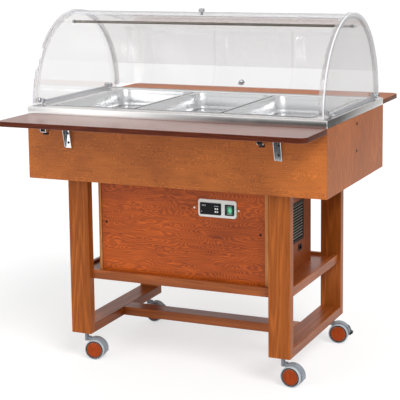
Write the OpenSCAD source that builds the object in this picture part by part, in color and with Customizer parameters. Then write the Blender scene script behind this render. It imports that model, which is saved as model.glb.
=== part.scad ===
// Mobile refrigerated salad bar: a wooden case on a wheeled base, with three lift-out food pans under a
// half-round clear dome, two folding tray shelves and the cooling unit in a box below.
// Millimetres, +Z up, origin on the floor under the middle of the case, front towards -Y.

/* [Case] */
// Distance of the case's end from the rim of the outer pan
end_margin = 73.5; // [64:0.5:150]
// Distance of the case's long face from the ends of the pans
side_margin = 67; // [60:0.5:110]
// Height of the case boards
case_h = 236; // [212:1:320]
// Thickness of the case boards
board_t = 20; // [15:0.5:24]
// Thickness of the case floor
floor_t = 18; // [12:0.5:24]
// Height of the underside of the case above the floor
deck_z = 680; // [640:1:740]

/* [Stainless top and well] */
// Height of the folded stainless top
rim_h = 26; // [20:0.5:40]
// Thickness of the stainless sheet
sheet_t = 1.5; // [1:0.1:2]
// Depth of the cold well below the top sheet
well_d = 200; // [120:1:204]

/* [Pans] */
// Length of a full-size food pan
pan_l = 530; // [528:0.5:532]
// Width of a full-size food pan
pan_w = 325; // [324:0.5:327]
// Depth of a pan
pan_d = 65; // [40:1:100]
// Gap between two neighbouring pan rims
pan_gap = 7; // [5:0.5:9]
// Thickness of the pan metal
pan_t = 1.2; // [0.8:0.1:1.5]

/* [Dome] */
// How far the dome stands in from the long faces of the case
dome_inset = 10; // [8:0.5:20]
// Height of the dome's axis above the stainless top
dome_axis_up = 11; // [8:0.5:16]
// Thickness of the clear end panels
panel_t = 5; // [4:0.5:6]
// Distance of the end panels' outer faces from the case ends
panel_inset = 15; // [12:0.5:20]
// Thickness of the clear flaps
flap_t = 3; // [2:0.5:4]
// Distance of the tie rod's axis below the inner face of the dome
rod_under = 34.4; // [30:0.1:110]
// Diameter of the tie rod
rod_d = 10; // [8:0.5:14]

/* [Shelves and brackets] */
// Reach of a shelf from the case face
shelf_reach = 215; // [205:1:260]
// Thickness of a shelf board
shelf_t = 18; // [15:0.5:22]
// Radius of the outer shelf corners
shelf_r = 28; // [10:1:40]
// Distance of a bracket from the end of the shelf
bracket_in = 168; // [120:1:260]
// Length of a bracket's wall channel
leg_ch_l = 86; // [70:1:100]
// Width of a bracket's wall channel
leg_ch_w = 27; // [25:0.5:32]
// Reach of a bracket's arm from the case face
arm_l = 175; // [165:1:190]
// Height of the rear shelf above the front one
rear_lift = 18; // [0:1:20]

/* [Base frame] */
// Width of a leg along the case
leg_w = 80; // [70:1:90]
// Thickness of a leg, front to back
leg_t = 33; // [25:0.5:36]
// Distance of a leg's outer edge from the end of the case
leg_set_x = 141; // [125:1:160]
// Distance of a leg's outer face from the long face of the case
leg_set_y = 34; // [30:1:40]
// Height of the tray above the floor
tray_z = 334; // [300:1:400]

/* [Casters] */
// Height from the floor to the bottom rails
caster_h = 104; // [104:1:120]
// Wheel diameter
wheel_d = 75; // [70:0.5:76]
// Width of one wheel
wheel_w = 18; // [14:0.5:22]
// Gap between the two wheels of a caster
wheel_gap = 13; // [12:0.5:16]

/* [Cooling box] */
// Gap between the box and the inner edges of the legs
box_gap = 17; // [14:1:22]
// Distance of the box's front from the front face of the case
box_set_front = 82; // [76:1:92]
// Distance of the box's back from the rear face of the case
box_set_back = 132; // [84:1:140]
// Thickness of the box boards
box_t = 12; // [9:0.5:15]

/* [Hidden] */
// Every curve is drawn fine
$fn = 96;
// Running clearance round pins and axles
run = 0.05;
// Glue line in a joint between boards
glue_gap = 0.1;
// Radial play of a flap in its track
slack = 0.3;

// Case
case_l = 3 * pan_w + 2 * pan_gap + 2 * end_margin;
case_w = pan_l + 2 * side_margin;

// Levels
case_top = deck_z + case_h;
top_z = case_top + rim_h;
sheet_z = top_z - sheet_t;
well_bottom = top_z - sheet_t - well_d;
foam_bottom = deck_z + floor_t;

// Pans: body, rim and spacing
pan_lip = 11;
pan_rim_r = 12;
pan_body_r = 45;
pan_pitch = pan_w + pan_gap;
pan_room = 3;
open_x = pan_pitch + pan_w / 2 - pan_lip + pan_room;
open_y = pan_l / 2 - pan_lip + pan_room;
well_step = 15;
well_x = open_x + well_step;
well_y = open_y + well_step - 0.5;
well_r = 30;
well_lip = 8;

// Evaporator: tube, runs and the two lines to the cooling unit
coil_d = 8;
coil_pitch = 60;
coil_rows = 7;
coil_end = well_x - 60;
coil_z = well_bottom - coil_d / 2;
suction_x = -200;
liquid_x = 150;
coil_y = coil_pitch * (coil_rows - 1) / 2;
line_bend = 16;
suction_join_z = 560;
liquid_join_z = 560;

// Bars between the pans
bar_w = 23;
bar_h = 12;

// Dome radii and track, from the outside in
dome_r = case_w / 2 - dome_inset;
dome_z = top_z + dome_axis_up;
panel_out = case_l / 2 - panel_inset;
panel_in = panel_out - panel_t;
outer_strip = 4.7;
front_r2 = dome_r - outer_strip - slack;
front_r1 = front_r2 - flap_t;
mid_strip = 1;
rear_r2 = front_r1 - 2 * slack - mid_strip;
rear_r1 = rear_r2 - flap_t;
inner_strip = 3;
track_r = rear_r1 - slack - inner_strip;
track_w = 15;
flap_x = panel_in - 1.5;
front_open = [78.5, 163];
rear_shut = [84, 178.5];
stop_play = 0.03;
front_knob_a = 81.5;
rear_knob_a = 175.5;
knob_hole = 6;
knob_d = 22;
rod_z = dome_z + rear_r1 - rod_under;
rod_thread = 8;
rail_w = 20;
rail_h = 14;
rail_floor = 2;
corner_y = dome_r - 60;
corner_up = 15;
corner_z = top_z + corner_up;
ball_d = 22;
spindle_d = 8;
rail_y = corner_y - 12;

// Shelves and brackets
bracket_x = case_l / 2 - bracket_in;
shelf_gap = 2;
shelf_z = case_top - shelf_t;
pin_out = 14;
pin_drop = 20;
pin_z = shelf_z - pin_drop;
pin_d = 6;
ch_t = 1.5;
leg_ch_z = pin_z + 8 - leg_ch_l;
leg_foot = 7;
leg_depth = pin_out + 8;
arm_w = leg_ch_w - 2 * ch_t - 2;
arm_h = 18;
arm_z = shelf_z - arm_h;
lever_out = arm_l - 21;
lever_z = arm_z + 5.5;
lever_pin = 4;
lever_w = arm_w - 2 * ch_t - 0.6;
lever_drop = 15.5;
lever_slot = 16;
tab_y = [46, 112];
tab_l = 20;
shelf_screw = 4;
wall_screw = 5;
wall_screw_up = [19, 52];

// Screw caps on the case ends
cap_z = [case_top - 28, case_top - 124];
cap_d = 13;

// Base frame
leg_out_x = case_l / 2 - leg_set_x;
leg_out_y = case_w / 2 - leg_set_y;
leg_in_x = leg_out_x - leg_w;
leg_in_y = leg_out_y - leg_t;
tray_rail_h = 33;
tray_rail_t = 15;
tray_rail_z = tray_z - 23;
tray_t = 12;
tray_in_y = 20;
tray_in_x = 11;
rail_x = leg_out_x - tray_in_x;
rail_out_y = leg_out_y - tray_in_y;
stretcher_w = 68;

// Casters
caster_x = (leg_out_x + leg_in_x) / 2;
caster_y = leg_in_y - 7;
caster_turn = [8, -4, -6, 8];
trail = 36;
axle_d = 8;
axle_z = wheel_d / 2;
tread_play = 1.1;
cover_r1 = wheel_d / 2 + tread_play;
cover_t = 4.9;
cover_r2 = cover_r1 + cover_t;
cover_w = 26;
web_w = wheel_gap - 3;
neck_d = 15.5;
stem_pin_d = 8;
stem_d = 11;
stem_in = 30;
collar_d = 14;
collar_h = 4.5;
brake_pin_d = 4;
brake_pin_r = 42.8 + (wheel_d - 75) / 2;
brake_a = 15;
brake_w = 15.6;

// Cooling box
box_x = leg_in_x - box_gap;
box_front = case_w / 2 - box_set_front;
box_back = case_w / 2 - box_set_back;
front_in = 4;
front_panel_y = box_front - front_in;
louvre_y = -27;
louvre_z = 508;
louvre_l = 285;
louvre_h = 150;
louvre_lip = 10;
slat_pitch = 10.6;
slat_count = 13;
inlet_y = 75;
inlet_z = 408;
inlet_l = 34;
inlet_h = 24;
catch_y = -box_front + 16;
catch_z = 500;
panel_screw_x = box_x - 30;
panel_screw_z = tray_z + 186;

// Control plate
plate_x = 140;
plate_z = 601.5;
plate_l = 145;
plate_h = 63;
plate_t = 4;
plate_r = 10;
plate_y = front_panel_y + plate_t;
plate_screw_x = [plate_x - 89, plate_x + 79];
plate_screw_z = plate_z - 2.5;
thermo_x = 115;
thermo_z = 600;
thermo_l = 80;
thermo_h = 42;
thermo_t = 3;
thermo_body_l = 70;
thermo_body_h = 30;
thermo_body_d = 45;
key_x = [134.5, 142];
key_z = [601.2, 590.8];
key_l = 5;
key_h = 6;
key_out = 1;
key_travel = 0.8;
key_play = 0.1;
switch_x = 187;
switch_z = 599.5;
switch_l = 34;
switch_h = 38;
rocker_l = 22;
rocker_h = 30;
rocker_pin_y = plate_y - 2.5;

// Cooling unit
comp_in = 210;
comp_x = comp_in - box_x;
comp_y = -60;
comp_r = 80;
comp_z = tray_z + 14;
comp_top = comp_z + 175;
comp_base_l = 200;
comp_base_w = 150;
comp_foot_x = comp_base_l / 2 - 14;
comp_foot_y = comp_base_w / 2 - 14;
fin_y = [-129, 75];
fin_w = 44;
fin_gap = 24;
fin_x = box_x - fin_gap - fin_w;
fin_t = 0.8;
fin_count = 18;
fin_z = [418, 598];
tube_d = 9;
fan_y = -27;
fan_z = 508;
fan_r = 82;
fan_in = 30;
fan_x = fin_x - fan_in;
blade_w = 52;
hub_d = 46;
hub_l = 16;
motor_d = 64;
motor_l = 47;
motor_gap = 9;
strap_w = 4;
shaft_d = 6;
hot_line_y = 110;
hot_line_z = 572;
line_out = 22;
liquid_line_z = 396;

// Colours of the real surfaces
c_wood = "sienna";
c_steel = "lightgray";
c_clear = [0.85, 0.9, 0.92, 0.35];
c_dark = [0.08, 0.08, 0.09];
c_white = "whitesmoke";

// Flat rounded plate, centred in X and Y
module rounded_2d(l, w, r) {
    square([l, w - 2 * r], center = true);
    square([l - 2 * r, w], center = true);
    for (sx = [-1, 1], sy = [-1, 1])
        translate([sx * (l / 2 - r), sy * (w / 2 - r)])
            circle(r = r);
}

module rounded_plate(l, w, r, h) {
    linear_extrude(h)
        rounded_2d(l, w, r);
}

// Box given by its low and high corners
module block(lo, hi) {
    translate(lo)
        cube(hi - lo);
}

// Outline drawn in Y and Z, extruded along X about x = 0
module side_shape(t) {
    rotate([90, 0, 90])
        linear_extrude(t, center = true)
            children();
}

// Round bar along X between two positions
module bar_x(x0, x1, d) {
    translate([x0, 0, 0])
        rotate([0, 90, 0])
            cylinder(h = x1 - x0, d = d);
}

// Round bar along Y between two positions
module bar_y(y0, y1, d) {
    translate([0, y1, 0])
        rotate([90, 0, 0])
            cylinder(h = y1 - y0, d = d);
}

// Curved wall about the dome's axis, from angle a1 to a2 counted from the front over the top
module arc_x(r1, r2, a1, a2, x0, x1) {
    translate([0, 0, dome_z])
        rotate([0, 90, 0])
            rotate([0, 0, -(a2 + 90)])
                rotate_extrude(angle = a2 - a1)
                    translate([r1, x0])
                        square([r2 - r1, x1 - x0]);
}

// Point frame on the dome at an angle, with local +Z pointing out of the dome
module on_dome(a, r) {
    translate([0, 0, dome_z])
        rotate([90 - a, 0, 0])
            translate([0, 0, r])
                children();
}

// Straight tube pieces through a list of points, with brazed round elbows between them
module tube_path(points, d) {
    for (i = [0 : len(points) - 2]) {
        v = points[i + 1] - points[i];
        l = norm(v);
        translate(points[i])
            rotate([0, acos(v[2] / l), atan2(v[1], v[0])])
                cylinder(h = l, d = d);
    }
    for (i = [1 : len(points) - 2])
        translate(points[i])
            sphere(d = d + 1);
}

// Places at the four brackets: the two at the front, or the same turned round to the back
module at_front() {
    for (sx = [-1, 1])
        translate([sx * bracket_x, -case_w / 2, 0])
            children();
}

// The rear shelf and its brackets sit higher than the front ones
function lift(turn) = turn == 0 ? 0 : rear_lift;

module at_back() {
    translate([0, 0, rear_lift])
        rotate([0, 0, 180])
            at_front()
                children();
}

// Place at one caster's stem, turned to its resting direction
module at_caster(sx, sy, turn) {
    translate([sx * caster_x, sy * caster_y, 0])
        rotate([0, 0, turn])
            children();
}

// ---- Case ----

module front_and_end_board() {
    x = case_l / 2;
    y = case_w / 2;
    t = board_t;
    g = glue_gap;
    linear_extrude(case_h)
        polygon([[-x + g, -y], [x - g, -y], [x - t - g, t - y], [t + g - x, t - y]]);
    linear_extrude(case_h)
        polygon([[x, g - y], [x, y - g], [x - t, y - t - g], [x - t, t + g - y]]);
}

module case_boards() {
    color(c_wood)
        difference() {
            translate([0, 0, deck_z]) {
                front_and_end_board();
                rotate([0, 0, 180])
                    front_and_end_board();
            }
            for (z = cap_z, sx = [-1, 1])
                translate([sx * case_l / 2, 0, z])
                    bar_x(-14, 14, wall_screw + 2 * run);
            for (turn = [0, 180], up = wall_screw_up)
                rotate([0, 0, turn])
                    at_front()
                        translate([0, 0, leg_ch_z + up + lift(turn)])
                            bar_y(-1, 16, wall_screw + 2 * run);
        }
}

module case_floor() {
    color("burlywood")
        difference() {
            translate([0, 0, deck_z])
                linear_extrude(floor_t)
                    square([case_l - 2 * board_t, case_w - 2 * board_t], center = true);
            line_holes(coil_d + 3, deck_z - 1, foam_bottom + 1);
        }
}

// Holes for the suction and the liquid line
module line_holes(d, z0, z1) {
    translate([suction_x - line_bend, -coil_y, z0])
        cylinder(h = z1 - z0, d = d);
    translate([liquid_x + line_bend, coil_y, z0])
        cylinder(h = z1 - z0, d = d);
}

// ---- Stainless top, cold well, foam and coil ----

module rim_top() {
    t = sheet_t;
    color(c_steel)
        difference() {
            translate([0, 0, case_top])
                linear_extrude(rim_h)
                    square([case_l, case_w], center = true);
            translate([0, 0, case_top + t])
                linear_extrude(rim_h - 2 * t)
                    square([case_l - 2 * t, case_w - 2 * t], center = true);
            translate([0, 0, case_top - 1])
                linear_extrude(t + 2)
                    square([case_l - 2 * board_t, case_w - 2 * board_t], center = true);
            translate([0, 0, top_z - t - 1])
                rounded_plate(2 * open_x, 2 * open_y, pan_rim_r, t + 2);
        }
}

// A wall band with its lip, and a floor sheet set into it
module cold_well() {
    t = sheet_t;
    g = glue_gap;
    lip_z = sheet_z - t;
    color(c_steel) {
        difference() {
            union() {
                translate([0, 0, well_bottom])
                    rounded_plate(2 * well_x, 2 * well_y, well_r, well_d);
                translate([0, 0, lip_z])
                    rounded_plate(2 * (well_x + well_lip), 2 * (well_y + well_lip), well_r + well_lip, t);
            }
            translate([0, 0, well_bottom - 1])
                rounded_plate(2 * (well_x - t), 2 * (well_y - t), well_r - t, well_d + 2);
        }
        translate([0, 0, well_bottom])
            rounded_plate(2 * (well_x - t - g), 2 * (well_y - t - g), well_r - t - g, t);
    }
}

// A ring of foam round the well, and a foam slab under it with a pocket for the coil
module insulation() {
    lip_z = sheet_z - sheet_t;
    g = glue_gap;
    inside = [case_l - 2 * board_t, case_w - 2 * board_t];
    color("khaki") {
        difference() {
            union() {
                translate([0, 0, well_bottom])
                    linear_extrude(lip_z - well_bottom)
                        square(inside, center = true);
                translate([0, 0, case_top + sheet_t])
                    linear_extrude(lip_z - case_top - sheet_t)
                        square([case_l - 2 * sheet_t, case_w - 2 * sheet_t], center = true);
            }
            translate([0, 0, well_bottom - 1])
                rounded_plate(2 * (well_x + g), 2 * (well_y + g), well_r + g, well_d + 2);
        }
        difference() {
            translate([0, 0, foam_bottom])
                linear_extrude(well_bottom - g - foam_bottom)
                    square(inside, center = true);
            translate([0, 0, well_bottom - coil_d])
                linear_extrude(coil_d + 1)
                    square([2 * coil_end + coil_pitch + 2 * coil_d, 2 * coil_y + 3 * coil_d], center = true);
            line_holes(coil_d + 2 * g, foam_bottom - 1, well_bottom - 1);
            for (x = [suction_x - line_bend, liquid_x], y = [-coil_y, coil_y])
                if ((x < 0) == (y < 0))
                    block([x - coil_d, y - coil_d / 2 - g, coil_z - line_bend - 1],
                        [x + line_bend + coil_d, y + coil_d / 2 + g, coil_z]);
        }
    }
}

module coil_bend(x, y, side) {
    translate([x, y, coil_z])
        rotate([0, 0, side > 0 ? -90 : 90])
            rotate_extrude(angle = 180)
                translate([coil_pitch / 2, 0])
                    circle(d = coil_d);
}

module line_elbow(x, y, turn) {
    translate([x, y, coil_z - line_bend])
        rotate([90, turn, 0])
            rotate_extrude(angle = 90)
                translate([line_bend, 0])
                    circle(d = coil_d);
}

module evaporator_coil() {
    color("peru") {
        for (i = [0 : coil_rows - 1]) {
            x0 = i == 0 ? suction_x : -coil_end;
            x1 = i == coil_rows - 1 ? liquid_x : coil_end;
            translate([0, i * coil_pitch - coil_y, coil_z])
                bar_x(x0, x1, coil_d);
        }
        for (i = [0 : coil_rows - 2])
            coil_bend(i % 2 == 0 ? coil_end : -coil_end, (i + 0.5) * coil_pitch - coil_y,
                i % 2 == 0 ? 1 : -1);
        line_elbow(suction_x, -coil_y, -90);
        line_elbow(liquid_x, coil_y, 0);
        translate([suction_x - line_bend, -coil_y, suction_join_z])
            cylinder(h = coil_z - line_bend - suction_join_z, d = coil_d);
        translate([liquid_x + line_bend, coil_y, liquid_join_z])
            cylinder(h = coil_z - line_bend - liquid_join_z, d = coil_d);
    }
}

// ---- Pans and the bars between them ----

module pan_bar() {
    t = sheet_t;
    difference() {
        union() {
            block([-bar_w / 2, -open_y + 0.2, top_z - bar_h], [bar_w / 2, open_y - 0.2, top_z]);
            block([-bar_w / 2, -open_y - 11, top_z - bar_h], [bar_w / 2, open_y + 11, sheet_z]);
        }
        block([t - bar_w / 2, -open_y - 20, top_z - bar_h + t], [bar_w / 2 - t, open_y + 20, top_z + 1]);
    }
}

module pan_bars() {
    color(c_steel)
        for (sx = [-1, 1])
            translate([sx * pan_pitch / 2, 0, 0])
                pan_bar();
}

module pan(x) {
    body_l = pan_l - 2 * pan_lip;
    body_w = pan_w - 2 * pan_lip;
    color("silver")
        translate([x, 0, 0])
            difference() {
                union() {
                    translate([0, 0, top_z])
                        rounded_plate(pan_w, pan_l, pan_rim_r, pan_t);
                    translate([0, 0, top_z + pan_t - pan_d])
                        rounded_plate(body_w, body_l, pan_body_r, pan_d);
                }
                translate([0, 0, top_z + 2 * pan_t - pan_d])
                    rounded_plate(body_w - 2 * pan_t, body_l - 2 * pan_t, pan_body_r - pan_t, pan_d);
            }
}

module pan_left() {
    pan(-pan_pitch);
}

module pan_middle() {
    pan(0);
}

module pan_right() {
    pan(pan_pitch);
}

// ---- Dome ----

module base_rail() {
    mid = panel_in + panel_t / 2;
    difference() {
        union() {
            block([mid - rail_w / 2, -rail_y, top_z], [mid + rail_w / 2, rail_y, top_z + 4]);
            block([panel_in - 3, -rail_y, top_z], [panel_out + 3, rail_y, top_z + rail_h]);
        }
        block([panel_in, -rail_y - 1, top_z + rail_floor], [panel_out, rail_y + 1, top_z + rail_h + 1]);
        for (z = [top_z + 7, top_z + 10.5])
            block([panel_in - 4, -rail_y - 1, z], [panel_in - 2.2, rail_y + 1, z + 1.2]);
    }
}

module base_rails() {
    color("gainsboro")
        for (turn = [0, 180])
            rotate([0, 0, turn])
                base_rail();
}

// Corner fitting: ball nut outside, spindle through the panel, ribbed nut inside
module corner_fitting() {
    bar_x(panel_in - 3, panel_out + 6, spindle_d);
    difference() {
        translate([panel_out + ball_d / 2 - 2, 0, 0])
            sphere(d = ball_d);
        block([panel_out - 20, -20, -20], [panel_out, 20, 20]);
    }
    bar_x(panel_in - 10, panel_in, 16);
    bar_x(panel_in - 12, panel_in - 9, 13);
}

// Cap nut on the threaded end of the tie rod
module cap_nut() {
    difference() {
        union() {
            bar_x(panel_out, panel_out + 6, 14);
            translate([panel_out + 6, 0, 0])
                sphere(d = 12.4);
        }
        bar_x(panel_out - 10, panel_out + 5.2, rod_thread + 2 * run);
    }
}

module dome_nuts() {
    color(c_steel)
        for (turn = [0, 180])
            rotate([0, 0, turn]) {
                for (sy = [-1, 1])
                    translate([0, sy * corner_y, corner_z])
                        corner_fitting();
                translate([0, 0, rod_z])
                    cap_nut();
            }
}

module end_panel() {
    x0 = panel_in - track_w;
    foot_z = top_z + rail_floor;
    difference() {
        translate([panel_in + panel_t / 2, 0, 0])
            side_shape(panel_t)
                union() {
                    intersection() {
                        translate([0, dome_z])
                            circle(r = dome_r, $fn = 180);
                        translate([-dome_r, dome_z - 0.01])
                            square([2 * dome_r, dome_r + 1]);
                    }
                    translate([-dome_r, foot_z])
                        square([2 * dome_r, dome_z - foot_z]);
                }
        translate([0, 0, rod_z])
            bar_x(panel_in - 1, panel_out + 1, rod_thread + 2 * run);
        for (sy = [-1, 1])
            translate([0, sy * corner_y, corner_z])
                bar_x(panel_in - 1, panel_out + 1, spindle_d + 2 * run);
    }
    arc_x(track_r, track_r + inner_strip, 0, 180, x0, panel_in);
    arc_x(rear_r2 + slack, front_r1 - slack, 0, 180, x0, panel_in);
    arc_x(dome_r - outer_strip, dome_r, 0, 180, x0, panel_in);
    arc_x(track_r + 1, dome_r - 1, 0, 1.5 - stop_play, x0, panel_in);
    arc_x(track_r + 1, dome_r - 1, rear_shut[1] + stop_play, 180, x0, panel_in);
    arc_x(front_r1 - slack - 0.2, dome_r - 1, front_open[1] + stop_play, front_open[1] + 2.5, x0, panel_in);
    for (side = [-1, 1])
        block([x0, side > 0 ? track_r : -dome_r, foot_z], [panel_in, side > 0 ? dome_r : -track_r, dome_z]);
}

module end_panels() {
    color(c_clear) {
        end_panel();
        mirror([1, 0, 0])
            end_panel();
    }
}

module tie_rod() {
    color(c_steel)
        translate([0, 0, rod_z]) {
            bar_x(-panel_in, panel_in, rod_d);
            bar_x(-panel_out - 5, panel_out + 5, rod_thread);
        }
}

module front_flap() {
    color(c_clear)
        difference() {
            arc_x(front_r1, front_r2, front_open[0], front_open[1], -flap_x, flap_x);
            on_dome(front_knob_a, front_r1 - 5)
                cylinder(h = 20, d = knob_hole + 2 * run);
        }
}

module rear_flap() {
    color(c_clear)
        difference() {
            arc_x(rear_r1, rear_r2, rear_shut[0], rear_shut[1], -flap_x, flap_x);
            on_dome(rear_knob_a, rear_r1 - 5)
                cylinder(h = 20, d = knob_hole + 2 * run);
        }
}

// Knob on its screw: the head outside, a flat screw head inside the flap
module knob(neck) {
    t = flap_t + 0.1;
    translate([0, 0, -t - 1])
        cylinder(h = 1, d = 12);
    translate([0, 0, -t - 0.5])
        cylinder(h = t + 1, d = knob_hole);
    translate([0, 0, 0])
        cylinder(h = neck, d = 10);
    translate([0, 0, neck])
        rotate_extrude()
            polygon([[0, -0.5], [8, -0.5], [knob_d / 2 - 1, 2], [knob_d / 2, 4], [knob_d / 2, 8],
                [knob_d / 2 - 2.5, 11.5], [6, 13.4], [0, 14]]);
}

module front_knob() {
    color(c_steel)
        on_dome(front_knob_a, front_r2)
            knob(7);
}

module rear_knob() {
    color(c_steel)
        on_dome(rear_knob_a, rear_r2)
            knob(11.6);
}

// ---- Shelves and folding brackets ----

module shelf_board() {
    l = case_l / 2;
    y0 = -case_w / 2 - shelf_gap;
    y1 = -case_w / 2 - shelf_reach;
    difference() {
        translate([0, 0, shelf_z])
            linear_extrude(shelf_t) {
                translate([-l, y1 + shelf_r])
                    square([2 * l, y0 - y1 - shelf_r]);
                translate([shelf_r - l, y1])
                    square([2 * l - 2 * shelf_r, y0 - y1]);
                for (sx = [-1, 1])
                    translate([sx * (l - shelf_r), y1 + shelf_r])
                        circle(r = shelf_r);
            }
        at_front()
            for (y = tab_y)
                translate([0, -y, shelf_z - 1])
                    cylinder(h = 13, d = shelf_screw + 2 * run);
    }
}

module front_shelf() {
    color(c_wood)
        shelf_board();
}

module rear_shelf() {
    color(c_wood)
        translate([0, 0, rear_lift])
            rotate([0, 0, 180])
                shelf_board();
}

// Wall channel: open outwards, deep at the pin and shallow at its rounded foot
module leg_side_2d() {
    polygon([[0, leg_ch_z], [4 - leg_foot, leg_ch_z], [-leg_foot, leg_ch_z + 5], [-leg_depth, pin_z - 8],
        [-leg_depth, pin_z], [-pin_out, pin_z + 8], [0, pin_z + 8]]);
    translate([-pin_out, pin_z])
        circle(r = 8);
}

module bracket_leg() {
    difference() {
        side_shape(leg_ch_w)
            leg_side_2d();
        block([ch_t - leg_ch_w / 2, -leg_depth - 1, leg_ch_z - 1], [leg_ch_w / 2 - ch_t, -ch_t, pin_z + 9]);
        translate([0, -pin_out, pin_z])
            bar_x(-leg_ch_w, leg_ch_w, pin_d + 2 * run);
        for (up = wall_screw_up)
            translate([0, 0, leg_ch_z + up])
                bar_y(-ch_t - 1, 1, wall_screw + 2 * run);
    }
}

module bracket_legs() {
    color(c_steel) {
        at_front()
            bracket_leg();
        at_back()
            bracket_leg();
    }
}

// Swinging arm: channel with its web below and two screwed tabs under the shelf
module arm_side_2d() {
    top = shelf_z;
    polygon([[-6, top], [-arm_l, top], [-arm_l, arm_z + 5], [5 - arm_l, arm_z], [-pin_out - 10, arm_z],
        [-pin_out - 6, pin_z - 2], [6 - pin_out, pin_z - 2], [-6, arm_z + 6]]);
    translate([-pin_out, pin_z])
        circle(r = 7);
}

module arm() {
    w = arm_w;
    difference() {
        side_shape(w)
            arm_side_2d();
        difference() {
            block([ch_t - w / 2, -arm_l - 1, pin_z - 10], [w / 2 - ch_t, 1, shelf_z + 1]);
            block([-w / 2, 5 - arm_l, arm_z - 0.1], [w / 2, -pin_out - 12, arm_z + ch_t]);
            for (y = tab_y)
                block([-w / 2, -y - tab_l / 2, shelf_z - ch_t], [w / 2, tab_l / 2 - y, shelf_z]);
        }
        translate([0, -pin_out, pin_z])
            bar_x(-w, w, pin_d + 2 * run);
        translate([0, -lever_out, lever_z])
            bar_x(-w, w, lever_pin + 2 * run);
        block([ch_t - w / 2, -lever_out - lever_slot / 2, arm_z - 1],
            [w / 2 - ch_t, lever_slot / 2 - lever_out, arm_z + ch_t + 0.1]);
        for (y = tab_y) {
            translate([0, -y, arm_z - 1])
                cylinder(h = ch_t + 2, d = 10);
            translate([0, -y, shelf_z - 3])
                cylinder(h = 4, d = shelf_screw + 2 * run);
        }
    }
    for (y = tab_y)
        translate([0, -y, shelf_z - ch_t]) {
            translate([0, 0, -2.2])
                cylinder(h = 2.15, d = 8);
            translate([0, 0, -0.5])
                cylinder(h = 12, d = shelf_screw);
        }
}

module front_arms() {
    color(c_steel)
        at_front()
            arm();
}

module rear_arms() {
    color(c_steel)
        at_back()
            arm();
}

// Release lever: a tab through the arm's slot, on its own trunnions
module lever() {
    color(c_dark)
        translate([0, -lever_out, lever_z]) {
            side_shape(lever_w)
                union() {
                    circle(r = 4.5);
                    polygon([[-4, 0], [4, 0], [4, -lever_drop], [-6, -lever_drop], [-6, -lever_drop + 2.5],
                        [-4, -lever_drop + 5]]);
                }
            bar_x(-arm_w / 2 - 0.6, arm_w / 2 + 0.6, lever_pin);
        }
}

module lever_at(turn, sx) {
    rotate([0, 0, turn])
        translate([sx * bracket_x, -case_w / 2, lift(turn)])
            lever();
}

module lever_fl() {
    lever_at(0, -1);
}

module lever_fr() {
    lever_at(0, 1);
}

module lever_rl() {
    lever_at(180, 1);
}

module lever_rr() {
    lever_at(180, -1);
}

// Hinge pins, wall screws, screw caps and panel screws
module screw_out_y(head_d, head_h, shank_d, shank_l) {
    bar_y(-head_h, 0, head_d);
    bar_y(-head_h / 2, shank_l, shank_d);
}

module fixings() {
    color("dimgray") {
        for (turn = [0, 180])
            translate([0, 0, lift(turn)])
                rotate([0, 0, turn])
                    at_front() {
                        translate([0, -pin_out, pin_z]) {
                            bar_x(-leg_ch_w / 2 - 1.5, leg_ch_w / 2 + 1.5, pin_d);
                            for (sx = [-1, 1])
                                translate([sx * (leg_ch_w / 2 + 0.8), 0, 0])
                                    bar_x(-0.7, 0.7, pin_d + 3);
                        }
                        for (up = wall_screw_up)
                            translate([0, -ch_t, leg_ch_z + up])
                                screw_out_y(9, 2.6, wall_screw, 15);
                    }
        for (z = cap_z, turn = [-90, 90])
            rotate([0, 0, turn])
                translate([0, -case_l / 2, z])
                    screw_out_y(cap_d, 1.4, wall_screw, 12);
        for (sx = [-1, 1])
            translate([sx * panel_screw_x, -front_panel_y, panel_screw_z])
                screw_out_y(9, 2, 4, 11);
        for (x = plate_screw_x)
            translate([x, -front_panel_y, plate_screw_z])
                screw_out_y(7, 1.4, 3.5, 9);
    }
}

// ---- Base frame ----

module legs() {
    color(c_wood)
        for (sx = [-1, 1], sy = [-1, 1])
            translate([sx * (leg_in_x + leg_w / 2), sy * (leg_in_y + leg_t / 2), caster_h])
                linear_extrude(deck_z - caster_h)
                    square([leg_w, leg_t], center = true);
}

module bottom_rails() {
    color(c_wood)
        difference() {
            for (sx = [-1, 1])
                translate([sx * (leg_in_x + leg_w / 2), 0, caster_h])
                    linear_extrude(leg_t)
                        square([leg_w, 2 * leg_in_y], center = true);
            for (sx = [-1, 1], sy = [-1, 1])
                translate([sx * caster_x, sy * caster_y, caster_h - 1])
                    cylinder(h = stem_in + 1, d = stem_d + 2 * run);
        }
}

module stretcher() {
    color(c_wood)
        translate([0, 0, caster_h])
            linear_extrude(leg_t)
                square([2 * leg_in_x, stretcher_w], center = true);
}

module tray_panel() {
    color(c_wood)
        translate([0, 0, tray_z - tray_t])
            linear_extrude(tray_t)
                square([2 * (rail_x - tray_rail_t), 2 * (rail_out_y - tray_rail_t)], center = true);
}

module tray_rails() {
    color(c_wood) {
        for (sx = [-1, 1])
            translate([sx * (rail_x - tray_rail_t / 2), 0, tray_rail_z])
                linear_extrude(tray_rail_h)
                    square([tray_rail_t, 2 * leg_in_y], center = true);
        for (sy = [-1, 1])
            translate([0, sy * (rail_out_y - tray_rail_t / 2), tray_rail_z])
                linear_extrude(tray_rail_h)
                    square([2 * leg_in_x, tray_rail_t], center = true);
    }
}

// ---- Box of the cooling unit ----

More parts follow.
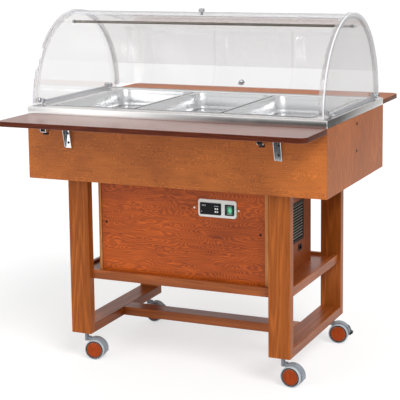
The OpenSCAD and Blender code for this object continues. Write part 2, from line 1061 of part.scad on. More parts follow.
module box_boards() {
    hole_l = louvre_l - 2 * louvre_lip;
    hole_h = louvre_h - 2 * louvre_lip;
    color(c_wood) {
        block([-box_x, -box_front, tray_z], [box_t - box_x, box_back, deck_z]);
        difference() {
            block([box_x - box_t, -box_front, tray_z], [box_x, box_back, deck_z]);
            block([box_x - 20, louvre_y - hole_l / 2, louvre_z - hole_h / 2],
                [box_x + 1, louvre_y + hole_l / 2, louvre_z + hole_h / 2]);
            block([box_x - 20, inlet_y - inlet_l / 2 + 3, inlet_z - inlet_h / 2 + 3],
                [box_x + 1, inlet_y + inlet_l / 2 - 3, inlet_z + inlet_h / 2 - 3]);
        }
        block([box_t - box_x + glue_gap, box_back - box_t, tray_z],
            [box_x - box_t - glue_gap, box_back, deck_z]);
    }
}

module box_front_panel() {
    y = front_panel_y;
    color("chocolate")
        difference() {
            block([box_t - box_x, -y, tray_z], [box_x - box_t, box_t - y, deck_z]);
            block([thermo_x - thermo_body_l / 2 - 1, -y - 1, thermo_z - thermo_body_h / 2 - 1],
                [thermo_x + thermo_body_l / 2 + 1, box_t - y + 1, thermo_z + thermo_body_h / 2 + 1]);
            block([switch_x - rocker_l / 2 - 3, -y - 1, switch_z - rocker_h / 2 - 2],
                [switch_x + rocker_l / 2 + 3, box_t - y + 1, switch_z + rocker_h / 2 + 2]);
            for (sx = [-1, 1])
                translate([sx * panel_screw_x, -y, panel_screw_z])
                    bar_y(-1, 11, 4 + 2 * run);
            for (x = plate_screw_x)
                translate([x, -y, plate_screw_z])
                    bar_y(-1, 10, 3.5 + 2 * run);
        }
}

// Small plate with a barrel that holds the right side board's front edge
module side_catch() {
    color(c_steel) {
        block([box_x, catch_y - 5, catch_z - 20], [box_x + 1.5, catch_y + 5, catch_z + 20]);
        translate([box_x + 2.5, catch_y - 5, catch_z - 16])
            cylinder(h = 32, d = 4);
    }
}

module louvre() {
    hole_l = louvre_l - 2 * louvre_lip - 0.4;
    hole_h = louvre_h - 2 * louvre_lip - 0.4;
    rim_x = box_x + 2;
    color(c_dark)
        translate([0, louvre_y, louvre_z]) {
            difference() {
                union() {
                    block([box_x, -louvre_l / 2, -louvre_h / 2], [rim_x, louvre_l / 2, louvre_h / 2]);
                    block([box_x - box_t, -hole_l / 2, -hole_h / 2], [box_x + 1, hole_l / 2, hole_h / 2]);
                }
                block([box_x - 20, 2.5 - hole_l / 2, 2.5 - hole_h / 2],
                    [rim_x + 1, hole_l / 2 - 2.5, hole_h / 2 - 2.5]);
            }
            intersection() {
                block([box_x - box_t, 2 - hole_l / 2, 2 - hole_h / 2],
                    [rim_x, hole_l / 2 - 2, hole_h / 2 - 2]);
                for (i = [0 : slat_count - 1])
                    translate([box_x - 5, 0, (i - (slat_count - 1) / 2) * slat_pitch])
                        rotate([0, 40, 0])
                            cube([15, hole_l - 4, 1.2], center = true);
            }
        }
}

module power_inlet() {
    l = inlet_l;
    h = inlet_h;
    color(c_dark)
        translate([0, inlet_y, inlet_z]) {
            difference() {
                union() {
                    block([box_x, -l / 2, -h / 2], [box_x + 2, l / 2, h / 2]);
                    block([box_x - 24, 3.2 - l / 2, 3.2 - h / 2], [box_x + 1, l / 2 - 3.2, h / 2 - 3.2]);
                }
                block([box_x - 16, 5 - l / 2, 5 - h / 2], [box_x + 3, l / 2 - 5, h / 2 - 5]);
            }
            for (y = [-7, 0, 7])
                block([box_x - 17, y - 1, y == 0 ? -1 : -3], [box_x - 2, y + 1, y == 0 ? 3 : 1]);
        }
}

// ---- Controls ----

module control_plate() {
    color(c_white)
        difference() {
            translate([plate_x, -front_panel_y, plate_z])
                rotate([90, 0, 0])
                    rounded_plate(plate_l, plate_h, plate_r, plate_t);
            block([thermo_x - thermo_body_l / 2 - 0.3, -plate_y - 1, thermo_z - thermo_body_h / 2 - 0.3],
                [thermo_x + thermo_body_l / 2 + 0.3, 1 - front_panel_y, thermo_z + thermo_body_h / 2 + 0.3]);
            block([switch_x - rocker_l / 2 - 2.3, -plate_y - 1, switch_z - rocker_h / 2 - 1.3],
                [switch_x + rocker_l / 2 + 2.3, 1 - front_panel_y, switch_z + rocker_h / 2 + 1.3]);
        }
}

module thermostat() {
    y = plate_y;
    color(c_dark)
        difference() {
            union() {
                block([thermo_x - thermo_l / 2, -y - thermo_t, thermo_z - thermo_h / 2],
                    [thermo_x + thermo_l / 2, -y, thermo_z + thermo_h / 2]);
                block([thermo_x - thermo_body_l / 2, -y - 1, thermo_z - thermo_body_h / 2],
                    [thermo_x + thermo_body_l / 2, thermo_body_d - y, thermo_z + thermo_body_h / 2]);
            }
            block([thermo_x - 36, -y - thermo_t - 1, thermo_z - 6],
                [thermo_x + 10, -y - thermo_t + 0.6, thermo_z + 17]);
            for (x = key_x, z = key_z)
                block([x - key_l / 2 - key_play, -y - thermo_t - 1, z - key_h / 2 - key_play],
                    [x + key_l / 2 + key_play, 6 - y, z + key_h / 2 + key_play]);
        }
}

module key(x, z) {
    y = plate_y + thermo_t;
    color(c_white)
        block([x - key_l / 2, -y - key_out, z - key_h / 2], [x + key_l / 2, 7 - y, z + key_h / 2]);
}

module key_1() {
    key(key_x[0], key_z[0]);
}

module key_2() {
    key(key_x[1], key_z[0]);
}

module key_3() {
    key(key_x[0], key_z[1]);
}

module key_4() {
    key(key_x[1], key_z[1]);
}

module switch_frame() {
    y = plate_y;
    color(c_dark)
        difference() {
            union() {
                translate([switch_x, -y, switch_z])
                    rotate([90, 0, 0])
                        rounded_plate(switch_l, switch_h, 3, 3);
                block([switch_x - rocker_l / 2 - 2, -y - 1, switch_z - rocker_h / 2 - 1],
                    [switch_x + rocker_l / 2 + 2, 24 - y, switch_z + rocker_h / 2 + 1]);
            }
            block([switch_x - rocker_l / 2 - 0.3, -y - 4, switch_z - rocker_h / 2 - 0.4],
                [switch_x + rocker_l / 2 + 0.3, 16 - y, switch_z + rocker_h / 2 + 0.4]);
            translate([switch_x, -rocker_pin_y, switch_z])
                bar_x(-rocker_l / 2 - 1.5, rocker_l / 2 + 1.5, 3 + 2 * run);
        }
}

// Rocker: two shallow slopes that meet at the pivot
module rocker() {
    color("seagreen")
        translate([switch_x, -rocker_pin_y, switch_z]) {
            side_shape(rocker_l)
                polygon([[-3.2, 14], [-6.6, 13.4], [-4.6, 0], [-3.4, -13.8], [0, -13.6], [7, -7],
                    [7, 7], [0, 14]]);
            bar_x(-rocker_l / 2 - 1, rocker_l / 2 + 1, 3);
        }
}

// ---- Cooling unit ----

module compressor() {
    r = comp_r;
    color([0.12, 0.12, 0.13]) {
        translate([comp_x, comp_y, 0]) {
            translate([0, 0, comp_z + 3])
                rotate_extrude()
                    polygon([[0, 0], [r - 22, 0], [r - 6, 10], [r, 24], [r, 66], [r + 3, 67],
                        [r + 3, 72], [r, 73],
                        [r, 128], [r - 8, 150], [r - 30, 166], [0, 172]]);
            translate([0, 0, comp_z])
                rounded_plate(comp_base_l, comp_base_w, 12, 4);
            for (sx = [-1, 1], sy = [-1, 1])
                translate([sx * comp_foot_x, sy * comp_foot_y, tray_z])
                    cylinder(h = 14, d = 20);
            block([r - 8, -24, comp_z + 60], [r + 26, 24, comp_z + 112]);
        }
        tube_path([[comp_x - 50, comp_y - 50, 480], [suction_x - line_bend, -coil_y, 480],
            [suction_x - line_bend, -coil_y, suction_join_z]], coil_d);
        tube_path([[comp_x, comp_y + 20, comp_top - 10], [comp_x, comp_y + 20, hot_line_z],
            [comp_x, hot_line_y, hot_line_z], [fin_x + fin_w / 2, hot_line_y, hot_line_z]], coil_d);
    }
}

module condenser() {
    pitch = (fin_y[1] - fin_y[0]) / (fin_count - 1);
    mid_x = fin_x + fin_w / 2;
    motor_x = fan_x - hub_l / 2 - motor_gap;
    strap_x = motor_x - motor_l * 0.7;
    color("darkgray") {
        // finned block between two standing end plates
        difference() {
            for (i = [0 : fin_count - 1])
                block([fin_x, fin_y[0] + i * pitch - fin_t / 2, fin_z[0]],
                    [fin_x + fin_w, fin_y[0] + i * pitch + fin_t / 2, fin_z[1]]);
            for (i = [0 : 5])
                translate([mid_x, 0, fin_z[0] + 15 + i * 30])
                    bar_y(fin_y[0] - 20, fin_y[1] + 20, tube_d - 0.4);
        }
        for (i = [0 : 5])
            translate([mid_x, 0, fin_z[0] + 15 + i * 30])
                bar_y(fin_y[0] - 9, fin_y[1] + 9, tube_d);
        for (y = [fin_y[0] - 8, fin_y[1] + 6])
            block([fin_x - 8, y, tray_z], [fin_x + fin_w, y + 2, fin_z[1] + 2]);
        // return bends
        for (i = [0 : 4])
            translate([mid_x, i % 2 == 0 ? fin_y[1] + 9 : fin_y[0] - 9, fin_z[0] + 30 + i * 30])
                rotate([90, 0, i % 2 == 0 ? 90 : -90])
                    rotate([0, 0, -90])
                        rotate_extrude(angle = 180)
                            translate([15, 0])
                                circle(d = tube_d);
        // lines to the compressor and to the coil
        line_y = fin_y[0] - line_out;
        tube_path([[mid_x, fin_y[0] - 8, fin_z[1] - 15], [mid_x, line_y, fin_z[1] - 15],
            [mid_x, line_y, fin_z[1] + 12], [mid_x, hot_line_y, fin_z[1] + 12],
            [mid_x, hot_line_y, hot_line_z + coil_d / 2]], coil_d);
        tube_path([[mid_x, fin_y[0] - 8, fin_z[0] + 15], [mid_x, line_y, fin_z[0] + 15],
            [mid_x, line_y, liquid_line_z], [liquid_x + line_bend, line_y, liquid_line_z],
            [liquid_x + line_bend, coil_y, liquid_line_z],
            [liquid_x + line_bend, coil_y, liquid_join_z]], coil_d);
        // shroud with its round opening, motor on a cross bar
        difference() {
            block([fin_x - 8, fin_y[0] - 6, fin_z[0] - 4], [fin_x - 6, fin_y[1] + 6, fin_z[1] + 2]);
            translate([0, fan_y, fan_z])
                bar_x(fin_x - 10, fin_x, 2 * fan_r + 8);
        }
        translate([0, fan_y, fan_z]) {
            bar_x(motor_x - motor_l, motor_x, motor_d);
            bar_x(motor_x - 3, fan_x + 12, shaft_d);
        }
        for (z = [-1, 1])
            block([strap_x, fin_y[0] - 6, fan_z + z * 30 - 2],
                [strap_x + strap_w, fin_y[1] + 6, fan_z + z * 30 + 2]);
        for (y = [fin_y[0] - 8, fin_y[1] + 6])
            block([strap_x, y, fan_z - 36], [fin_x - 6, y + 2, fan_z + 36]);
    }
}

module fan() {
    color(c_white)
        translate([fan_x, fan_y, fan_z])
            difference() {
                union() {
                    bar_x(-hub_l / 2, hub_l / 2, hub_d);
                    intersection() {
                        bar_x(-14, 14, 2 * fan_r);
                        for (i = [0 : 4])
                            rotate([i * 72, 0, 0])
                                translate([0, 0, fan_r / 2 + 6])
                                    rotate([0, 0, 28])
                                        cube([2, blade_w, fan_r], center = true);
                    }
                }
                bar_x(-20, 20, shaft_d + 2 * run);
            }
}

// ---- Casters ----

module caster_stems() {
    color([0.1, 0.1, 0.1])
        for (sx = [-1, 1], sy = [-1, 1])
            translate([sx * caster_x, sy * caster_y, 0]) {
                translate([0, 0, caster_h - collar_h])
                    cylinder(h = collar_h, d = collar_d);
                translate([0, 0, caster_h - collar_h / 2])
                    cylinder(h = stem_in + collar_h / 2 - 1, d = stem_d);
                translate([0, 0, caster_h - 34])
                    cylinder(h = 34, d = stem_pin_d);
            }
}

// Ring sector of the wheel cover, drawn in X and Z about the axle
module cover_part(r1, r2, a1, a2, w) {
    translate([trail, 0, axle_z])
        rotate([90, 0, 0])
            rotate([0, 0, a1])
                rotate_extrude(angle = a2 - a1)
                    translate([r1, -w / 2])
                        square([r2 - r1, w]);
}

// Hood: neck round the stem, web between the wheels and the cover over them
module hood(brake) {
    neck_z = caster_h - 38;
    neck_top = caster_h - collar_h - 0.3;
    low = brake ? 37 : -12;
    color([0.62, 0.66, 0.7])
        difference() {
            union() {
                translate([0, 0, neck_z])
                    cylinder(h = neck_top - neck_z, d = neck_d);
                cover_part(cover_r1, cover_r2, low, 126, cover_w);
                cover_part(30, cover_r1 + 1, low, 126, web_w);
                translate([trail, 0, axle_z])
                    bar_y(0.4 - web_w / 2, web_w / 2 - 0.4, 64);
                translate([-4, 0.4 - web_w / 2, neck_z])
                    cube([22, web_w - 0.8, 16]);
                if (brake) {
                    for (sy = [-1, 1])
                        translate([trail, sy * (brake_w / 2 + 2.4), axle_z])
                            rotate([90, 0, 0])
                                linear_extrude(4, center = true)
                                    polygon([
                                        for (a = [brake_a - 7 : 11 : low + 4])
                                            (cover_r1 + 1) * [cos(a), sin(a)],
                                        for (a = [low + 4 : -11 : brake_a - 7])
                                            (cover_r2 + 3) * [cos(a), sin(a)]]);
                    translate([trail + brake_pin_r * cos(brake_a), 0, axle_z + brake_pin_r * sin(brake_a)])
                        bar_y(-brake_w / 2 - 3, brake_w / 2 + 3, brake_pin_d);
                }
            }
            translate([0, 0, neck_z + 3])
                cylinder(h = 60, d = stem_pin_d + 2 * run);
            translate([trail, 0, axle_z])
                bar_y(-20, 20, axle_d + 2 * run);
        }
}

// One wheel: tyre and core with a groove, and the disc in its outer face
module wheel_half() {
    r = wheel_d / 2;
    w0 = wheel_gap / 2;
    w1 = w0 + wheel_w;
    rotate([90, 0, 0])
        rotate_extrude()
            polygon([[axle_d / 2 + run, w0], [r - 2, w0], [r, w0 + 2], [r, w1 - 3.5], [r - 1.2, w1 - 1.2],
                [r - 3.5, w1], [r - 5, w1], [r - 5, w1 - 2.5], [axle_d / 2 + run, w1 - 2.5]]);
    translate([0, -w1 + 2.4, 0])
        rotate([90, 0, 0])
            rotate_extrude()
                polygon([[0, 0], [r - 8.5, 0], [r - 8.5, 1.9], [r - 10, 2.4], [0, 2.8]]);
}

module wheels() {
    color("lightgray")
        translate([trail, 0, axle_z]) {
            wheel_half();
            rotate([0, 0, 180])
                wheel_half();
            bar_y(2.45 - wheel_gap / 2 - wheel_w, wheel_gap / 2 + wheel_w - 2.45, axle_d);
        }
}

// Brake lever: a curved shoe on its pin with a pedal that points outwards
module brake() {
    r = wheel_d / 2;
    color(c_dark)
        difference() {
            union() {
                cover_part(r + 3, r + 8, -8, 33, brake_w);
                translate([trail, 0, axle_z])
                    rotate([90, 0, 0])
                        linear_extrude(brake_w, center = true)
                            polygon([[r + 6, 14], [r + 10, 10], [r + 16.5, 7], [r + 15.5, 1], [r + 8, -4],
                                [r + 3.5, -4], [r + 3.5, 8]]);
            }
            translate([trail + brake_pin_r * cos(brake_a), 0, axle_z + brake_pin_r * sin(brake_a)])
                bar_y(-brake_w, brake_w, brake_pin_d + 2 * run);
        }
}

module hood_fl() {
    at_caster(-1, -1, caster_turn[0])
        hood(false);
}

module hood_fr() {
    at_caster(1, -1, caster_turn[1])
        hood(false);
}

module hood_rl() {
    at_caster(-1, 1, caster_turn[2])
        hood(true);
}

module hood_rr() {
    at_caster(1, 1, caster_turn[3])
        hood(true);
}

module wheels_fl() {
    at_caster(-1, -1, caster_turn[0])
        wheels();
}

module wheels_fr() {
    at_caster(1, -1, caster_turn[1])
        wheels();
}

module wheels_rl() {
    at_caster(-1, 1, caster_turn[2])
        wheels();
}

module wheels_rr() {
    at_caster(1, 1, caster_turn[3])
        wheels();
}

module brake_rl() {
    at_caster(-1, 1, caster_turn[2])
        brake();
}

module brake_rr() {
    at_caster(1, 1, caster_turn[3])
        brake();
}

case_boards();
case_floor();
rim_top();
cold_well();
insulation();
evaporator_coil();
pan_bars();
pan_left();
pan_middle();
pan_right();
base_rails();
dome_nuts();
end_panels();
tie_rod();
front_flap();
rear_flap();
front_knob();
rear_knob();
front_shelf();
rear_shelf();
bracket_legs();
front_arms();
rear_arms();
lever_fl();
lever_fr();
lever_rl();
lever_rr();
fixings();
legs();
bottom_rails();
stretcher();
tray_panel();
tray_rails();
box_boards();
box_front_panel();
side_catch();
louvre();
power_inlet();
control_plate();
thermostat();
key_1();
key_2();
key_3();
key_4();
switch_frame();
rocker();
compressor();
condenser();
fan();
caster_stems();
hood_fl();
hood_fr();
hood_rl();
hood_rr();
wheels_fl();
wheels_fr();
wheels_rl();
wheels_rr();
brake_rl();
brake_rr();
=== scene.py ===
import math

import bmesh
import bpy
from mathutils import Matrix, Vector


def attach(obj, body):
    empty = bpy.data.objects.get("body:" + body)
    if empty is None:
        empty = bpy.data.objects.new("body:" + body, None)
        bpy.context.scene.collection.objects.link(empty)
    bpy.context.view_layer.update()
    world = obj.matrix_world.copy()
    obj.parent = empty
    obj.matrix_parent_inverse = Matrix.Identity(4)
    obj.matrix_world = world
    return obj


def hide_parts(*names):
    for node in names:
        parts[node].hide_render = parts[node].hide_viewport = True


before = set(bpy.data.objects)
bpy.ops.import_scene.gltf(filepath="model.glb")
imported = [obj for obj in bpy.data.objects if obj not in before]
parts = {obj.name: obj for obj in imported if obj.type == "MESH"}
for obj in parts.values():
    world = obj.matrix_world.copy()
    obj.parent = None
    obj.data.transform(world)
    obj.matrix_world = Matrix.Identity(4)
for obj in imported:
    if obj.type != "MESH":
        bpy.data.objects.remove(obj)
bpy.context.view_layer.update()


# ---- Camera ----
# Stands in front of the bar and to its right, a little above the pans, as in the photograph.
# The lens is shifted down slightly, so that the upright boards stay nearly upright.
heading, dip, lean = 0.4193, 0.1486, -0.0116  # radians
ahead = Vector((-math.sin(heading) * math.cos(dip), math.cos(heading) * math.cos(dip), -math.sin(dip)))
level = Vector((math.cos(heading), math.sin(heading), 0))
over = level.cross(ahead)
right = level * math.cos(lean) + over * math.sin(lean)
above = over * math.cos(lean) - level * math.sin(lean)
eye = Vector((1.8437, -4.2116, 1.5257))
lens = bpy.data.cameras.new("camera")
lens.sensor_width = 36
lens.lens = 113.56
lens.shift_y = -0.175
lens.clip_end = 200
camera = bpy.data.objects.new("camera", lens)
camera.matrix_world = Matrix((
    (right.x, above.x, -ahead.x, eye.x),
    (right.y, above.y, -ahead.y, eye.y),
    (right.z, above.z, -ahead.z, eye.z),
    (0, 0, 0, 1)))
bpy.context.collection.objects.link(camera)
scene = bpy.context.scene
scene.camera = camera
scene.view_settings.view_transform = "Standard"


# ---- Studio ----
# A white paper floor and soft lamps. The floor is lifted towards white for the camera and for what
# mirrors or shows it, and keeps the object's soft shadow.
def hex_colour(code):
    """A colour written as sRGB hex, as the linear numbers that shaders take."""
    steps = [int(code[i:i + 2], 16) / 255 for i in (1, 3, 5)]
    return tuple(s / 12.92 if s <= 0.04045 else ((s + 0.055) / 1.055) ** 2.4 for s in steps) + (1.0,)


def put(tree, kind, settings=None, links=None):
    """One shader node with its settings, by attribute or input, and the sockets that feed it."""
    node = tree.nodes.new(kind)
    for key, value in (settings or {}).items():
        if isinstance(key, str) and hasattr(node, key):
            setattr(node, key, value)
        else:
            node.inputs[key].default_value = value
    for key, source in (links or {}).items():
        tree.links.new(source, node.inputs[key])
    return node


def start_finish(name):
    """An empty material and its node tree."""
    finish = bpy.data.materials.new(name)
    finish.use_nodes = True
    finish.node_tree.nodes.clear()
    return finish, finish.node_tree


paper, tree = start_finish("white_paper_floor")
path = put(tree, "ShaderNodeLightPath")
seen = put(tree, "ShaderNodeMath", {"operation": "MAXIMUM"},
           {0: path.outputs["Is Camera Ray"], 1: path.outputs["Is Glossy Ray"]})
seen = put(tree, "ShaderNodeMath", {"operation": "MAXIMUM"},
           {0: seen.outputs[0], 1: path.outputs["Is Transmission Ray"]})
plain = put(tree, "ShaderNodeBsdfDiffuse", {"Color": hex_colour("#dedede")})
dim = put(tree, "ShaderNodeBsdfDiffuse", {"Color": hex_colour("#b4b4b4")})
lift = put(tree, "ShaderNodeEmission", {"Color": (1, 1, 1, 1), "Strength": 0.62})
lifted = put(tree, "ShaderNodeAddShader", None, {0: dim.outputs[0], 1: lift.outputs[0]})
both = put(tree, "ShaderNodeMixShader", None, {0: seen.outputs[0], 1: plain.outputs[0], 2: lifted.outputs[0]})
put(tree, "ShaderNodeOutputMaterial", None, {"Surface": both.outputs[0]})


def put_on_stage(name, mesh, finish):
    """Turns a bmesh into a piece of the studio, which is no part of the object."""
    data = bpy.data.meshes.new(name)
    mesh.to_mesh(data)
    mesh.free()
    data.materials.append(finish)
    piece = bpy.data.objects.new(name, data)
    bpy.context.collection.objects.link(piece)
    return piece


paper_sheet = bmesh.new()
bmesh.ops.create_grid(paper_sheet, x_segments=4, y_segments=4, size=60)
put_on_stage("floor", paper_sheet, paper)

# the walls: white for the camera, plainer as a light, and darker near the horizon in mirrored faces
world = bpy.data.worlds.new("studio")
world.use_nodes = True
tree = world.node_tree
tree.nodes.clear()
path = put(tree, "ShaderNodeLightPath")
seen = put(tree, "ShaderNodeMath", {"operation": "MAXIMUM"},
           {0: path.outputs["Is Camera Ray"], 1: path.outputs["Is Transmission Ray"]})
towards = put(tree, "ShaderNodeSeparateXYZ", None, {0: put(tree, "ShaderNodeTexCoord").outputs["Generated"]})
mirrored = put(tree, "ShaderNodeMapRange",
               {"interpolation_type": "SMOOTHSTEP", "From Min": 0.04, "From Max": 0.3, "To Min": 0.4},
               {"Value": towards.outputs["Z"]})
lit = put(tree, "ShaderNodeMix", {2: 0.5}, {0: path.outputs["Is Glossy Ray"], 3: mirrored.outputs[0]})
bright = put(tree, "ShaderNodeMath", {"operation": "MAXIMUM"}, {0: lit.outputs[0], 1: seen.outputs[0]})
sky = put(tree, "ShaderNodeBackground", {"Color": (1, 1, 1, 1)}, {"Strength": bright.outputs[0]})
put(tree, "ShaderNodeOutputWorld", None, {"Surface": sky.outputs[0]})
scene.world = world

for name, towards, spread, power in (
        ("key_lamp", (0.75, -0.65, 0.95), 28, 1.9),
        ("fill_lamp", (-0.4, -1.0, 0.2), 50, 1.0)):
    lamp = bpy.data.lights.new(name, "SUN")
    lamp.angle = math.radians(spread)
    lamp.energy = power
    stand = bpy.data.objects.new(name, lamp)
    stand.location = Vector(towards) * 4
    stand.rotation_euler = Vector(towards).to_track_quat("Z", "Y").to_euler()
    stand.visible_glossy = False
    bpy.context.collection.objects.link(stand)

# two dark cards, seen only in polished faces, as in a studio: one in front that grows bright to the
# left and upwards, and one behind to the right that grows bright further back
card_foot, front_y, right_x = -0.1, -4.6, 2.2
for name, along, start, end, high, dark_at, pale_at, least, most in (
        ("front_card", "X", -3.6, 2.4, 3.2, -1.3, -3.0, 0.08, 1.5),
        ("right_card", "Y", 0.5, 9.0, 2.6, 3.6, 5.4, 0.1, 0.55)):
    card_finish, tree = start_finish("studio_" + name)
    spot = put(tree, "ShaderNodeNewGeometry").outputs["Position"]
    spot = put(tree, "ShaderNodeSeparateXYZ", None, {0: spot})
    soft = {"interpolation_type": "SMOOTHSTEP"}
    aside = put(tree, "ShaderNodeMapRange",
                {**soft, "From Min": dark_at, "From Max": pale_at, "To Max": most},
                {"Value": spot.outputs[along]})
    upward = put(tree, "ShaderNodeMapRange", {**soft, "From Min": 1.2, "From Max": 3.0},
                 {"Value": spot.outputs["Z"]})
    pale = put(tree, "ShaderNodeMath", {"operation": "MAXIMUM"}, {0: aside.outputs[0], 1: upward.outputs[0]})
    never_black = put(tree, "ShaderNodeMath", {"operation": "MAXIMUM", 1: least}, {0: pale.outputs[0]})
    glow = put(tree, "ShaderNodeEmission", None, {"Strength": never_black.outputs[0]})
    put(tree, "ShaderNodeOutputMaterial", None, {"Surface": glow.outputs[0]})
    card_sheet = bmesh.new()
    corners = [(start, card_foot), (end, card_foot), (end, high), (start, high)]
    card_sheet.faces.new([card_sheet.verts.new((place, front_y, z) if along == "X" else (right_x, place, z))
                          for place, z in corners])
    card = put_on_stage(name, card_sheet, card_finish)
    card.visible_camera = card.visible_diffuse = card.visible_shadow = False
    card.visible_transmission = card.visible_volume_scatter = False


# ---- Case boards ----
# Four upright boards of stained birch plywood, mitred and glued at the corners and lacquered satin.
# The edges are eased by hand sanding, so a thin line of light runs along them.
def stained_birch(name, grain, light, dark, vein_mm, curl, coat, shine=0.25, rough=0.38):
    """Birch, stained and lacquered: curly veins and finer fibre along one axis, and uneven stain."""
    finish, tree = start_finish(name)
    place = put(tree, "ShaderNodeTexCoord").outputs["Object"]
    each_board = put(tree, "ShaderNodeObjectInfo").outputs["Random"]
    moved = put(tree, "ShaderNodeVectorMath", {"operation": "ADD"}, {0: place, 1: each_board})
    stretch = [1.0, 1.0, 1.0]
    stretch[grain] = curl
    slow = put(tree, "ShaderNodeMapping", {"Scale": stretch}, {"Vector": moved.outputs[0]})
    stretch[grain] = 0.04
    fast = put(tree, "ShaderNodeMapping", {"Scale": stretch}, {"Vector": moved.outputs[0]})
    # veins: level lines of a slow field, so they nest and curl as in peeled veneer
    field = put(tree, "ShaderNodeTexNoise", {"Scale": 4, "Detail": 4, "Roughness": 0.48},
                {"Vector": slow.outputs[0]})
    # fibre bundles drawn 4 mm apart, and ragged into the veins: the real 0.5 mm ones are too fine to show
    fibre_mm = 4
    fibre = put(tree, "ShaderNodeTexNoise", {"Scale": 1000 / fibre_mm, "Detail": 3, "Roughness": 0.6},
                {"Vector": fast.outputs[0]})
    ragged = put(tree, "ShaderNodeMath", {"operation": "MULTIPLY", 1: 5.0}, {0: fibre.outputs["Fac"]})
    phase = put(tree, "ShaderNodeMath", {"operation": "MULTIPLY_ADD", 1: 4600 / vein_mm},
                {0: field.outputs["Fac"], 2: ragged.outputs[0]})
    wave = put(tree, "ShaderNodeMath", {"operation": "SINE"}, {0: phase.outputs[0]})
    # the stain takes unevenly, in clouds a hand wide
    cloud = put(tree, "ShaderNodeTexNoise", {"Scale": 6, "Detail": 4, "Roughness": 0.6},
                {"Vector": slow.outputs[0]})
    crest = put(tree, "ShaderNodeMath", {"operation": "MULTIPLY_ADD", 1: 0.5, 2: 0.5}, {0: wave.outputs[0]})
    crest = put(tree, "ShaderNodeMath", {"operation": "POWER", 1: 2.2}, {0: crest.outputs[0]})
    tone = put(tree, "ShaderNodeMath", {"operation": "MULTIPLY_ADD", 1: 0.4, 2: 0.37}, {0: crest.outputs[0]})
    fleck = put(tree, "ShaderNodeMapRange", {"To Min": -0.5, "To Max": 0.5}, {"Value": fibre.outputs["Fac"]})
    patch = put(tree, "ShaderNodeMapRange", {"To Min": -0.7, "To Max": 0.7}, {"Value": cloud.outputs["Fac"]})
    tone = put(tree, "ShaderNodeMath", {"operation": "ADD"}, {0: tone.outputs[0], 1: fleck.outputs[0]})
    tone = put(tree, "ShaderNodeMath", {"operation": "ADD", "use_clamp": True},
               {0: tone.outputs[0], 1: patch.outputs[0]})
    stain = put(tree, "ShaderNodeMix", {"data_type": "RGBA", 6: hex_colour(dark), 7: hex_colour(light)},
                {0: tone.outputs[0]})
    sheen = put(tree, "ShaderNodeMapRange", {"To Min": rough + 0.07, "To Max": rough - 0.07},
                {"Value": fibre.outputs["Fac"]})
    relief = put(tree, "ShaderNodeBump", {"Strength": 0.25, "Distance": 0.0003}, {"Height": tone.outputs[0]})
    wood = put(tree, "ShaderNodeBsdfPrincipled",
               {"IOR": 1.5, "Specular IOR Level": shine, "Coat Weight": coat, "Coat Roughness": 0.2,
                "Coat IOR": 1.5},
               {"Base Color": stain.outputs[2], "Roughness": sheen.outputs[0], "Normal": relief.outputs[0]})
    put(tree, "ShaderNodeOutputMaterial", None, {"Surface": wood.outputs[0]})
    return finish


def keep_piece(mesh, name, finishes, body, node, crease=35):
    """Turns a bmesh into a named piece with its finishes, on its body, in place of a CAD node."""
    data = bpy.data.meshes.new(name)
    bmesh.ops.recalc_face_normals(mesh, faces=mesh.faces)
    mesh.to_mesh(data)
    mesh.free()
    for finish in finishes:
        data.materials.append(finish)
    data.polygons.foreach_set("use_smooth", [True] * len(data.polygons))
    data.set_sharp_from_angle(angle=math.radians(crease))
    piece = bpy.data.objects.new(name, data)
    bpy.context.collection.objects.link(piece)
    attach(piece, body)
    if node:
        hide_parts(node)
    return piece


def ease_edges(piece, width, steps=3):
    """Rounds a piece's sharp edges, as sanding or moulding leaves them."""
    round_over = piece.modifiers.new("eased_edges", "BEVEL")
    round_over.width = width
    round_over.segments = steps
    round_over.limit_method = "ANGLE"
    round_over.angle_limit = math.radians(35)
    round_over.harden_normals = True
    return piece


def draw_out(outline, low, high, axis="z", rim_sides=()):
    """An outline in mm drawn from low to high along an axis; the rim sides take the second finish."""
    mesh = bmesh.new()
    ends = []
    for w in (low, high):
        places = [{"x": (w, u, v), "y": (u, w, v), "z": (u, v, w)}[axis] for u, v in outline]
        ends.append([mesh.verts.new(Vector(place) / 1000) for place in places])
        mesh.faces.new(ends[-1])
    bottom, top = ends
    for i in range(len(outline)):
        j = (i + 1) % len(outline)
        mesh.faces.new((bottom[i], bottom[j], top[j], top[i])).material_index = int(i in rim_sides)
    return mesh


def cut_plate(name, outline, low, high, finish, body, node, edge, axis="z", rim=None):
    """A plate sawn or stamped to an outline in mm, with eased edges; rim is the finish of its sides."""
    mesh = draw_out(outline, low, high, axis, range(len(outline)) if rim else ())
    finishes = [finish, rim] if rim else [finish]
    return ease_edges(keep_piece(mesh, name, finishes, body, node), edge / 1000)


def dress(node, finish):
    """Gives a carried-over CAD part its finish."""
    for place in parts[node].material_slots:
        place.material = finish


